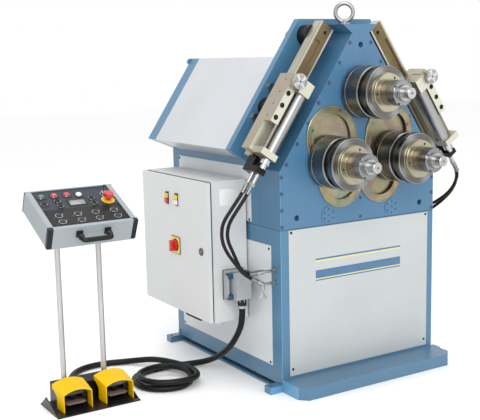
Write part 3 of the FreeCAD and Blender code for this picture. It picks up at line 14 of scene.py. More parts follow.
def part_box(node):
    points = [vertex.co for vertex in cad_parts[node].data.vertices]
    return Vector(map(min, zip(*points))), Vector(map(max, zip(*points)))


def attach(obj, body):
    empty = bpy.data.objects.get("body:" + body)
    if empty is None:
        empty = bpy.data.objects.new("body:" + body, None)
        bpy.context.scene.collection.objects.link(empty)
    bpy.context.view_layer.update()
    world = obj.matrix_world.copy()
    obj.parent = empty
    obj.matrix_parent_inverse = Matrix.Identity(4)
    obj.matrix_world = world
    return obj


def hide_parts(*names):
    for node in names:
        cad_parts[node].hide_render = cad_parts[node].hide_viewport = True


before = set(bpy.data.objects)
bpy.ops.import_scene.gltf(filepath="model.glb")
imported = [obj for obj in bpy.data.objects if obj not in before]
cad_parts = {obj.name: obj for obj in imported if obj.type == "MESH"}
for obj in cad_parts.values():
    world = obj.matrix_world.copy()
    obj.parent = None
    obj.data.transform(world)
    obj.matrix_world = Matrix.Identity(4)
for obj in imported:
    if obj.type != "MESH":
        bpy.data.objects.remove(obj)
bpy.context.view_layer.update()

Point = Tuple[float, float, float]
Pair = Tuple[float, float]
Pairs = Tuple[Pair, ...]
Route = Tuple[Point, ...]
Colour = Tuple[float, float, float, float]
LOG = logging.getLogger("ring_roller")

# Shared sizes, in millimetres unless another unit is named.
APEX: Pair = (37.0, 1210.0)         # top end of the head's sloping edge: x and z
SHOULDER: Pair = (342.0, 761.0)     # low end of the same edge
SLOPE = math.atan2(SHOULDER[0] - APEX[0], APEX[1] - SHOULDER[1])
SIN = math.sin(SLOPE)
COS = math.cos(SLOPE)
ROLLS: Dict[str, Pair] = {"upper": (0.0, 1011.0), "left": (-142.0, 780.3), "right": (142.0, 780.3)}
SIDES: Dict[str, int] = {"left": -1, "right": 1}
PEG: Pair = (830.5, -711.0)         # a guide's peg on the slope's axes: out, and down along it
DESK_CORNER: Point = (-924.0, 187.0, 623.0)
DESK_TILT = 24.6                    # degrees
THOUSAND = 1000.0                   # millimetres in a metre

FRONT: Point = (0.0, -1.0, 0.0)
BACK: Point = (0.0, 1.0, 0.0)
LEFT: Point = (-1.0, 0.0, 0.0)
RIGHT: Point = (1.0, 0.0, 0.0)
UP: Point = (0.0, 0.0, 1.0)
PALE = 0.86                         # share of each named colour that a surface sends back
CRISP = 35.0                        # edges that turn more than this many degrees stay sharp
SEED = 11                           # of every random turn


def mm(*values: float) -> Vector:
    """A point given in millimetres, in metres."""
    return Vector([v / THOUSAND for v in values])


def box_mm(name: str) -> Tuple[Point, Point]:
    """Low and high corner of a solid's box, in millimetres."""
    low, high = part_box(name)
    return tuple(c * THOUSAND for c in low), tuple(c * THOUSAND for c in high)


def linear(code: str) -> Colour:
    """Turn a hex colour into linear light.

    Args:
        code: "#" and two hex digits each for red, green and blue.

    Returns:
        Linear red, green, blue and alpha, paled as a real surface is.
    """
    raw = [int(code[i:i + 2], 16) / 255.0 for i in (1, 3, 5)]
    rgb = [c / 12.92 if c <= 0.04045 else ((c + 0.055) / 1.055) ** 2.4 for c in raw]
    return (rgb[0] * PALE, rgb[1] * PALE, rgb[2] * PALE, 1.0)


def shade(code: str, share: float) -> Colour:
    """A hex colour made darker or lighter by a factor."""
    return tuple(min(1.0, c * share) for c in linear(code)[:3]) + (1.0,)


def slope_seat(side: int) -> Matrix:
    """Local axes of a sloping edge: square out from it, back, and down along it."""
    return Matrix(((side * COS, 0.0, side * SIN, 0.0), (0.0, 1.0, 0.0, 0.0),
                   (SIN, 0.0, -COS, 0.0), (0.0, 0.0, 0.0, 1.0)))


def desk_seat() -> Matrix:
    """Local axes of the console's sloping face: across, up along it, and out of it."""
    return Matrix.Translation(DESK_CORNER) @ Matrix.Rotation(math.radians(DESK_TILT), 4, "X")


# ---------------------------------------------------------------- shader nodes

class Signal:
    """A number socket that adds Math nodes when it is used in an expression."""

    def __init__(self, kit: "NodeKit", socket: bpy.types.NodeSocket) -> None:
        self.kit = kit
        self.socket = socket

    def _math(self, operation: str, first: "Operand", second: "Operand" = 0.0) -> "Signal":
        """One Math node on two operands."""
        made = self.kit.node("ShaderNodeMath", {"operation": operation}, {0: first, 1: second})
        return Signal(self.kit, made.outputs[0])

    def __add__(self, other: "Operand") -> "Signal":
        """Sum."""
        return self._math("ADD", self, other)

    __radd__ = __add__

    def __sub__(self, other: "Operand") -> "Signal":
        """Difference."""
        return self._math("SUBTRACT", self, other)

    def __rsub__(self, other: "Operand") -> "Signal":
        """Difference from a number."""
        return self._math("SUBTRACT", other, self)

    def __mul__(self, other: "Operand") -> "Signal":
        """Product."""
        return self._math("MULTIPLY", self, other)

    __rmul__ = __mul__

    def __truediv__(self, other: "Operand") -> "Signal":
        """Quotient."""
        return self._math("DIVIDE", self, other)

    def __pow__(self, other: "Operand") -> "Signal":
        """Power."""
        return self._math("POWER", self, other)

    def __lt__(self, other: "Operand") -> "Signal":
        """One where this is less."""
        return self._math("LESS_THAN", self, other)

    def __abs__(self) -> "Signal":
        """Size without sign."""
        return self._math("ABSOLUTE", self)

    def sine(self) -> "Signal":
        """Sine of this angle in radians."""
        return self._math("SINE", self)

    def clamp(self) -> "Signal":
        """This held between nought and one."""
        return self._math("MINIMUM", self._math("MAXIMUM", self, 0.0), 1.0)

    def near(self, value: float, width: float) -> "Signal":
        """One at a value, falling to nought a width away."""
        return (1.0 - abs(self - value) / width).clamp()


Operand = Union[Signal, int, float]
Feed = Union[Signal, bpy.types.NodeSocket, float, Colour]


class NodeKit:
    """Makes nodes in one tree."""

    def __init__(self, tree: bpy.types.NodeTree) -> None:
        """Keep the tree."""
        self.tree = tree

    def node(self, kind: str, settings: Dict[str, object],
             inputs: Dict[object, object]) -> bpy.types.Node:
        """Make any node.

        Args:
            kind: the node's type name.
            settings: its properties, and "stops" for the stops of a ramp.
            inputs: values, sockets or signals by input name or number.

        Returns:
            The new node.
        """
        made = self.tree.nodes.new(kind)
        for key, value in settings.items():
            if key == "stops":
                ramp = made.color_ramp
                while len(ramp.elements) < len(value):
                    ramp.elements.new(0.5)
                for element, (position, colour) in zip(ramp.elements, value):
                    element.position = position
                    element.color = colour
            else:
                setattr(made, key, value)
        for key, value in inputs.items():
            if isinstance(value, Signal):
                value = value.socket
            if isinstance(value, bpy.types.NodeSocket):
                self.tree.links.new(value, made.inputs[key])
            else:
                made.inputs[key].default_value = value
        return made

    def joined(self, x: Operand, y: Operand, z: Operand = 0.0) -> bpy.types.NodeSocket:
        """Three numbers as one vector."""
        return self.node("ShaderNodeCombineXYZ", {}, {0: x, 1: y, 2: z}).outputs[0]


class ShaderKit(NodeKit):
    """Builds one material's node tree."""

    def __init__(self, name: str) -> None:
        """Start a material with an empty tree, a Principled shader and its output.

        Args:
            name: the material's name.
        """
        self.material = bpy.data.materials.new(name)
        self.material.use_nodes = True
        super().__init__(self.material.node_tree)
        self.tree.nodes.clear()
        self.shader = self.node("ShaderNodeBsdfPrincipled", {}, {})
        self.node("ShaderNodeOutputMaterial", {}, {"Surface": self.shader.outputs["BSDF"]})
        coordinates = self.node("ShaderNodeTexCoord", {}, {})
        self.place = coordinates.outputs["Object"]
        self.way = coordinates.outputs["Normal"]

    def front(self) -> Signal:
        """One on the faces that look at -Y, nought elsewhere."""
        facing = self.node("ShaderNodeSeparateXYZ", {}, {0: self.way})
        return Signal(self, facing.outputs["Y"]) < -0.7

    def axis(self, name: str) -> Signal:
        """One of the object's coordinates, in metres."""
        split = self.node("ShaderNodeSeparateXYZ", {}, {0: self.place})
        return Signal(self, split.outputs[name])

    def radius(self, centre: Pair) -> Signal:
        """Measure from an axis that runs along Y.

        Args:
            centre: x and z of the axis, in metres.

        Returns:
            The distance from it, in metres.
        """
        x = self.axis("X") - centre[0]
        z = self.axis("Z") - centre[1]
        return (x * x + z * z) ** 0.5

    def mapped(self, scale: Point, turn: Point = (0.0, 0.0, 0.0)) -> bpy.types.NodeSocket:
        """Object coordinates turned by angles in radians, then scaled in waves per metre."""
        made = self.node("ShaderNodeMapping", {"vector_type": "TEXTURE"}, {
            0: self.place, "Scale": tuple(1.0 / s for s in scale), "Rotation": turn})
        return made.outputs[0]

    def noise(self, scale: float, detail: float = 3.0, where: Optional[bpy.types.NodeSocket] = None,
              rough: float = 0.5) -> Signal:
        """Add a noise texture.

        Args:
            scale: waves per metre.
            detail: how many finer layers lie on it.
            where: coordinates to use in place of the object's.
            rough: how strong the finer layers are.

        Returns:
            Noise between nought and one.
        """
        made = self.node("ShaderNodeTexNoise", {}, {
            "Vector": where or self.place, "Scale": scale, "Detail": detail, "Roughness": rough})
        return Signal(self, made.outputs[0])

    def blend(self, share: Feed, first: Feed, second: Feed) -> Signal:
        """Two colours mixed, where share is that of the second one."""
        made = self.node("ShaderNodeMix", {"data_type": "RGBA"}, {0: share, 6: first, 7: second})
        return Signal(self, made.outputs[2])

    def bump(self, height: Operand, depth: float, strength: float = 1.0) -> None:
        """Raise the surface where height is one, by a depth in metres."""
        made = self.node("ShaderNodeBump", {},
                         {"Strength": strength, "Distance": depth, "Height": height})
        self.feed("Normal", made.outputs[0])

    def feed(self, name: str, value: Feed) -> None:
        """Set or link one input of the Principled shader.

        Args:
            name: the input's name.
            value: a number, a colour, or the signal or socket to link.
        """
        if isinstance(value, Signal):
            value = value.socket
        if isinstance(value, bpy.types.NodeSocket):
            self.tree.links.new(value, self.shader.inputs[name])
        else:
            self.shader.inputs[name].default_value = value


# -------------------------------------------------------------------- finishes

@dataclass(frozen=True)
class Enamel:
    """Sprayed paint with orange peel, a painted highlight on the front corners and a little dust
    low down.

    ribs is the strength of the cutter's marks under the paint, drawn as a bump with a painted
    highlight on their ridges and painted shade in their hollows, seam the height of a dark joint in
    metres, edge the strength of the painted highlight down the rounded front corners, and grime
    that of the dust.
    """

    name: str
    colour: str
    rough: float = 0.38
    coat: float = 0.25
    peel: float = 0.00006
    ribs: float = 0.0
    seam: float = 0.0
    edge: float = 0.0
    grime: float = 0.10
    gloss: float = 0.5
    rib_waves: ClassVar[float] = 785.0      # radians per metre across the cutter's marks
    corner_x: ClassVar[float] = 0.3388      # where the painted highlight strip of the rounded front corners starts
    corner_width: ClassVar[float] = 0.0022
    front_y: ClassVar[float] = 0.0006       # the painted highlight is on the front face alone
    seam_half: ClassVar[float] = 0.0016
    dust_height: ClassVar[float] = 5.0      # one over the height where the dust ends
    dust: ClassVar[str] = "#8A8578"

    def build(self) -> bpy.types.Material:
        """Make the material.

        Returns:
            The material.
        """
        kit = ShaderKit(self.name)
        tone = kit.blend(kit.noise(5.0, 4.0), shade(self.colour, 0.88), shade(self.colour, 1.06))
        rough = kit.noise(9.0, 3.0) * 0.10 + (self.rough - 0.05)
        height = kit.noise(700.0, 2.0) * 0.5
        if self.ribs > 0:
            drift = kit.noise(60.0, 2.0, kit.mapped((1.0, 1.0, 0.12)))
            wave = (kit.axis("X") * self.rib_waves + drift * 2.4).sine() * 0.5 + 0.5
            broken = kit.noise(1.0, 3.0, kit.mapped((260.0, 30.0, 70.0)), 0.6)
            front = kit.front()
            # the marks are a bump, with a painted highlight on their ridges and painted shade in
            # their hollows
            mark = (wave * 0.7 + broken * 0.9 - 0.35).clamp() * front
            hollow_shade = ((1.0 - wave) * front * (self.ribs * 0.9)).clamp()
            tone = kit.blend(hollow_shade, tone, shade(self.colour, 0.62))
            tone = kit.blend(mark * self.ribs, tone, shade(self.colour, 1.75))
            rough = rough + mark * 0.08
            height = height + wave * front * 0.8
        # painted highlight: a lighter strip down the rounded front corners of the front face
        if self.edge > 0:
            corner = (abs(kit.axis("X")) - self.corner_x) / self.corner_width
            strip = corner.clamp() * (kit.axis("Y") < self.front_y)
            tone = kit.blend((strip * self.edge).clamp(), tone, shade(self.colour, 2.2))
        if self.seam > 0:
            line = kit.axis("Z").near(self.seam, self.seam_half) * 1.6
            tone = kit.blend(line.clamp(), tone, shade(self.colour, 0.18))
        low = (1.0 - kit.axis("Z") * self.dust_height).clamp()
        dust = (low * kit.noise(22.0, 5.0) * (2.0 * self.grime)).clamp()
        tone = kit.blend(dust, tone, linear(self.dust))
        kit.feed("Base Color", tone)
        kit.feed("Roughness", rough)
        kit.feed("Coat Weight", self.coat)
        kit.feed("Specular IOR Level", self.gloss)
        kit.feed("Coat Roughness", 0.18)
        kit.bump(height, self.peel, 0.6)
        return kit.material


@dataclass(frozen=True)
class Powder:
    """Textured powder coat."""

    name: str
    colour: str
    rough: float = 0.55
    grain: float = 0.00012

    def build(self) -> bpy.types.Material:
        """Make the material.

        Returns:
            The material.
        """
        kit = ShaderKit(self.name)
        grain = kit.noise(1400.0, 2.0)
        cloud = kit.noise(7.0, 3.0)
        share = (grain * 0.5 + cloud * 0.5).clamp()
        kit.feed("Base Color", kit.blend(share, shade(self.colour, 0.91), shade(self.colour, 1.04)))
        kit.feed("Roughness", grain * 0.12 + (self.rough - 0.06))
        kit.bump(grain, self.grain, 0.5)
        return kit.material


class Direction(Enum):
    """Which way a metal's working marks run; a sloping one's value is the side it leans to."""

    ALONG_LEFT = -1
    ALONG_RIGHT = 1
    UPRIGHT = 0
    CLOUDY = 2


@dataclass(frozen=True)
class Metal:
    """Bare, plated or chromed metal with working marks and light soiling.

    contrast is that of the marks, stain the share of the second colour in clouds, and front a
    lighter colour for the faces that look forward, a painted highlight.
    """

    name: str
    colour: str
    second: str
    rough: float = 0.32
    marks: Direction = Direction.CLOUDY
    contrast: float = 0.55
    stain: float = 0.3
    metallic: float = 1.0
    front: Optional[str] = None

    def build(self) -> bpy.types.Material:
        """Make the material.

        Returns:
            The material.
        """
        kit = ShaderKit(self.name)
        if self.marks is Direction.UPRIGHT:
            where = kit.mapped((900.0, 900.0, 14.0))
            fine = kit.noise(1.0, 2.0, where)
            wide = kit.noise(0.15, 2.0, where)
        elif self.marks is Direction.CLOUDY:
            fine = kit.noise(900.0, 3.0)
            wide = kit.noise(26.0, 3.0)
        else:
            where = kit.mapped((900.0, 500.0, 14.0), (0.0, SLOPE * self.marks.value, 0.0))
            fine = kit.noise(1.0, 2.0, where)
            wide = kit.noise(0.2, 2.0, where)
        cloud = kit.noise(16.0, 4.0)
        share = ((fine * 0.5 + wide * 0.5 - 0.5) * (2.0 * self.contrast) + 0.5).clamp()
        tone = kit.blend(share, linear(self.second), linear(self.colour))
        tone = kit.blend((cloud * self.stain).clamp(), tone, linear(self.second))
        # painted highlight: the faces that look forward are made lighter
        if self.front:
            tone = kit.blend(kit.front() * (share * 0.25 + 0.6), tone, linear(self.front))
        kit.feed("Base Color", tone)
        kit.feed("Metallic", self.metallic)
        kit.feed("Roughness", (fine * 0.14 + cloud * 0.08 + (self.rough - 0.10)).clamp())
        kit.bump(fine, 0.00004, 0.45)
        return kit.material


@dataclass(frozen=True)
class Turned:
    """Metal turned on a lathe about an axis along Y, with painted highlights on its edges and
    faces.

    edges are the y of the corners that get a painted highlight, in metres, rim the radius that they
    lie on, brown the share of old oil, and rays the strength of painted highlight beams: lighter
    sectors by angle round the axis, in place of the light that a turned face throws.
    """

    name: str
    colour: str
    second: str
    centre: Pair
    rough: float = 0.24
    edges: Tuple[float, ...] = ()
    rim: float = 0.089
    # colour of the painted highlight on the edges
    highlight_colour: str = "#9A9C9D"
    brown: float = 0.0
    rays: float = 0.0
    edge_half: ClassVar[float] = 0.0034
    rim_depth: ClassVar[float] = 0.006
    oil: ClassVar[str] = "#6B5C48"

    def build(self) -> bpy.types.Material:
        """Make the material.

        Returns:
            The material.
        """
        kit = ShaderKit(self.name)
        radius = kit.radius(self.centre)
        y = kit.axis("Y")
        where = kit.joined(radius, y)
        fine = kit.noise(1500.0, 2.0, where)
        wide = kit.noise(150.0, 2.0, where)
        cloud = kit.noise(20.0, 4.0)
        share = (fine * 0.6 + wide * 0.9 - 0.25).clamp()
        tone = kit.blend(share, linear(self.second), linear(self.colour))
        tone = kit.blend((cloud * self.brown).clamp(), tone, linear(self.oil))
        rough = fine * 0.12 + cloud * 0.10 + (self.rough - 0.08)
        # painted highlight: lighter beams in sectors by angle round the axis
        if self.rays > 0:
            angle = kit.node("ShaderNodeMath", {"operation": "ARCTAN2"}, {
                0: kit.axis("Z") - self.centre[1], 1: kit.axis("X") - self.centre[0]})
            beam = (abs((Signal(kit, angle.outputs[0]) * 2.0 + 0.6).sine()) ** 6.0) * self.rays
            tone = kit.blend(beam.clamp(), tone, linear("#FFFFFF"))
        # painted highlight: lighter lines on the outer corners at the given edges
        if self.edges:
            line = y.near(self.edges[0], self.edge_half)
            for edge in self.edges[1:]:
                line = line + y.near(edge, self.edge_half)
            outer = ((radius - self.rim + self.rim_depth) * 300.0).clamp()
            edge_highlight = (line * outer * (0.35 + wide)).clamp()
            tone = kit.blend(edge_highlight, tone, linear(self.highlight_colour))
            rough = rough - edge_highlight * 0.06
        kit.feed("Base Color", tone)
        kit.feed("Metallic", 1.0)
        kit.feed("Roughness", rough.clamp())
        kit.bump(fine * 0.6 + wide * 0.5, 0.00005, 0.5)
        return kit.material


@dataclass(frozen=True)
class YellowZinc:
    """Passivated zinc with its drifting gold, green and rose tints.

    On a turned part, steel_before is the y in front of which bare steel shows, and boss the radius
    of its bronze middle, both in metres. pale is the share of a lighter plating.
    """

    name: str
    colour: str = "#A6A287"
    rough: float = 0.34
    centre: Pair = (0.0, 0.0)
    steel_before: float = -9.0
    pale: float = 0.0
    boss: float = 0.0432
    flat: ClassVar[float] = -1.0    # a part that isn't turned has its steel_before below this

    def build(self) -> bpy.types.Material:
        """Make the material.

        Returns:
            The material.
        """
        kit = ShaderKit(self.name)
        drift = (kit.noise(13.0, 3.0) - 0.5) * 1.5 + 0.5
        turned = self.steel_before > self.flat
        if turned:
            fine = kit.noise(1100.0, 2.0, kit.joined(kit.radius(self.centre), kit.axis("Y")))
        else:
            fine = kit.noise(500.0, 3.0)
        tints = ((0.26, "#84967F"), (0.40, self.colour), (0.52, "#AFA582"), (0.64, "#A08A7E"),
                 (0.8, "#88948A"))
        stops = [(position, linear(code)) for position, code in tints]
        ramp = kit.node("ShaderNodeValToRGB", {"stops": stops}, {0: drift})
        tone = kit.blend((fine * 0.35).clamp(), ramp.outputs[0], linear("#6E674C"))
        tone = kit.blend(self.pale, tone, linear("#C9C6B2"))
        if turned:
            tone = kit.blend(kit.radius(self.centre) < self.boss, tone, linear("#8E8577"))
            front = kit.axis("Y") < self.steel_before
            tone = kit.blend(front, tone, linear("#969797"))
        kit.feed("Base Color", tone)
        kit.feed("Metallic", 0.9)
        kit.feed("Roughness", (fine * 0.16 + drift * 0.12 + (self.rough - 0.12)).clamp())
        kit.bump(fine, 0.00004, 0.4)
        return kit.material


@dataclass(frozen=True)
class RailSteel:
    """Rail with light plated edges, a brown oiled band and scoring along it."""

    name: str
    inner: float = 751.5        # the rail's edges, square out from the machine's middle
    outer: float = 810.5
    inner_edge: ClassVar[float] = 4.5       # width of the light edges
    outer_edge: ClassVar[float] = 5.0
    face_y: ClassVar[float] = 0.0475        # in metres, as what follows
    groove_y: ClassVar[float] = 0.052
    groove_half: ClassVar[float] = 0.0012

    def build(self) -> bpy.types.Material:
        """Make the material.

        Returns:
            The material.
        """
        kit = ShaderKit(self.name)
        out = abs(kit.axis("X"))
        across = out * COS + kit.axis("Z") * SIN
        down = out * SIN - kit.axis("Z") * COS
        where = kit.joined(across, kit.axis("Y"), down * 0.02)
        fine = kit.noise(900.0, 3.0, where)
        cloud = kit.noise(30.0, 4.0, kit.joined(across, kit.axis("Y"), down * 0.3))
        face = kit.axis("Y") < self.face_y
        past_inner = ((across - (self.inner + self.inner_edge) / THOUSAND) * 300.0).clamp()
        short_of_outer = (((self.outer - self.outer_edge) / THOUSAND - across) * 300.0).clamp()
        band = past_inner * short_of_outer
        groove = kit.axis("Y").near(self.groove_y, self.groove_half)
        scored = (fine * 0.8 + cloud * 0.6 - 0.35).clamp()
        brown = kit.blend(scored, linear("#54452F"), linear("#9C8A66"))
        light = kit.blend(cloud, linear("#D8D5C8"), linear("#AFA993"))
        tone = kit.blend((band * face + groove).clamp(), light, brown)
        kit.feed("Base Color", tone)
        kit.feed("Metallic", 0.85)
        kit.feed("Roughness", (fine * 0.20 + cloud * 0.10 + 0.22).clamp())
        kit.bump(fine, 0.00005, 0.5)
        return kit.material


@dataclass(frozen=True)
class Moulding:
    """Moulded plastic or rubber."""

    name: str
    colour: str
    rough: float = 0.4
    grain: float = 0.00003
    clear: float = 0.0
    gloss: float = 0.5

    def build(self) -> bpy.types.Material:
        """Make the material.

        Returns:
            The material.
        """
        kit = ShaderKit(self.name)
        grain = kit.noise(1800.0, 2.0)
        cloud = kit.noise(30.0, 3.0)
        kit.feed("Base Color", kit.blend(cloud, shade(self.colour, 0.8), shade(self.colour, 1.05)))
        kit.feed("Roughness", (grain * 0.10 + cloud * 0.10 + (self.rough - 0.10)).clamp())
        kit.feed("Coat Weight", self.clear)
        kit.feed("Specular IOR Level", self.gloss)
        kit.bump(grain, self.grain, 0.5)
        return kit.material


class Finishes:
    """Every material of the machine, made once each."""

    ring_edges: ClassVar[Tuple[float, ...]] = (-0.0085, -0.026, -0.0275, -0.0875, -0.1125, -0.1375)
    hub_steel_before: ClassVar[float] = -0.199

    def __init__(self) -> None:
        """Build the shared materials."""
        recipes = [
            # edge paints a highlight down the front corners; ribs paint highlight and shade on the
            # cutter's marks
            Enamel("blue_enamel", "#4A7C9E", edge=0.6, seam=0.562),
            Enamel("blue_machined", "#457599", ribs=0.34, edge=0.6, seam=0.562),
            Enamel("screw_blue", "#456E8E", rough=0.4),
            Enamel("grey_enamel", "#C1C6C7", rough=0.42, grime=0.05),
            Enamel("side_enamel", "#DEE2E4", rough=0.42, grime=0.05),
            Enamel("hood_enamel", "#C9CCD0", rough=0.45, grime=0.0),
            Enamel("black_enamel", "#09090B", rough=0.32, coat=0.1, grime=0.03, gloss=0.25),
            Enamel("guard_yellow", "#FFCE00", rough=0.45, coat=0.0, grime=0.0, gloss=0.15),
            Powder("cabinet_coat", "#D9DBDB"),
            Powder("desk_coat", "#9FA7AD", rough=0.48),
            Metal("bright_steel", "#C9C9C7", "#8E8E8A", 0.28),
            Metal("white_zinc", "#D2D4D2", "#9A9B92", 0.30, stain=0.35),
            Metal("chrome", "#E4E6E8", "#B9BDC1", 0.12, contrast=0.3, stain=0.15),
            Metal("post_steel", "#E6E6E5", "#A3A2A0", 0.30, Direction.UPRIGHT, contrast=0.9,
                  stain=0.2, metallic=0.8),
            Metal("barrel_steel", "#BDBDBC", "#A0A1A2", 0.36, contrast=0.12, stain=0.1),
            # front is the painted highlight colour of the carriages' forward faces
            Metal("guide_left_zinc", "#CFC6B4", "#97907E", 0.40, Direction.ALONG_LEFT,
                  contrast=0.35, stain=0.4, metallic=0.7, front="#E6E8D6"),
            Metal("guide_right_zinc", "#CFC6B4", "#97907E", 0.40, Direction.ALONG_RIGHT,
                  contrast=0.35, stain=0.4, metallic=0.7, front="#E6E8D6"),
            Metal("thread_brown", "#A08A5C", "#5F5138", 0.35),
            Metal("pedal_plate", "#A48F88", "#6F5B55", 0.45, metallic=0.4),
            RailSteel("rail_steel"),
            YellowZinc("rim_zinc"),
            # a paler copy of rim_zinc: painted highlight on the rounded rims
            YellowZinc("rim_bead_zinc", "#C6BB8E", 0.3, pale=0.25),
            YellowZinc("cover_zinc", "#A8A88C", pale=0.15),
            Moulding("hose_rubber", "#0B0C0E", 0.42, gloss=0.25),
            Moulding("hose_brown", "#1B0F0F", 0.42, gloss=0.25),
            Moulding("cable_sheath", "#0B0E0F", 0.42, gloss=0.25),
            Moulding("black_block", "#060708", 0.32, gloss=0.25),
            Moulding("panel_black", "#101318", 0.38, gloss=0.25),
            Moulding("panel_grey", "#343C48", 0.42, gloss=0.25),
            Moulding("cap_black", "#0C0E10", 0.38, gloss=0.35),
            Moulding("red_cap", "#D42420", 0.3, clear=0.5),
            Moulding("green_cap", "#17704A", 0.3, clear=0.5),
            Moulding("white_cap", "#F0F1EE", 0.35, clear=0.3),
            Moulding("yellow_plate", "#F6CB1E", 0.38, clear=0.3),
            Moulding("lever_blue", "#0F4A70", 0.4),
            Moulding("stripe_blue", "#47759C", 0.4, clear=0.3),
            Moulding("stripe_yellow", "#E9E59B", 0.4, clear=0.3),
            Moulding("display_glass", "#8C8C80", 0.15, clear=0.8),
            # near-black fill of holes, sockets and the discs under screw heads: painted shade
            Moulding("socket_dark", "#08090A", 0.6),
            Metal("plug_alloy", "#C2C6C8", "#A0A4A7", 0.45, metallic=0.15),
            Metal("crimp_steel", "#B4B6B7", "#6F7173", 0.25),
            Metal("black_oxide", "#3C3D3F", "#191A1C", 0.36),
            Metal("dull_brass", "#D6D6D2", "#8C8B84", 0.28),
        ]
        for side, (x, z) in ROLLS.items():
            axis = (x / THOUSAND, z / THOUSAND)
            recipes += [
                # the rings get painted highlights on their edges and painted highlight beams on
                # their faces
                Turned(f"{side}_ring_steel", "#87888A", "#47484A", axis, 0.25, self.ring_edges,
                       brown=0.35, rays=0.22),
                Turned(f"{side}_shaft_steel", "#DADBDA", "#A4A4A2", axis, 0.26),
                YellowZinc(f"{side}_hub_zinc", "#AFA283", 0.24, axis, self.hub_steel_before,
                           pale=0.5)]
        out, down = PEG
        for side, sign in SIDES.items():
            axis = (sign * (out * COS + down * SIN) / THOUSAND, (out * SIN - down * COS) / THOUSAND)
            # the pegs' faces get strong painted highlight beams
            recipes.append(Turned(f"{side}_peg_steel", "#C9CACB", "#85878A", axis, 0.24, rays=0.55))
        self.known = {recipe.name: recipe.build() for recipe in recipes}

    def get(self, name: str) -> bpy.types.Material:
        """A material by its name."""
        return self.known[name]


# ---------------------------------------------------------------- making meshes

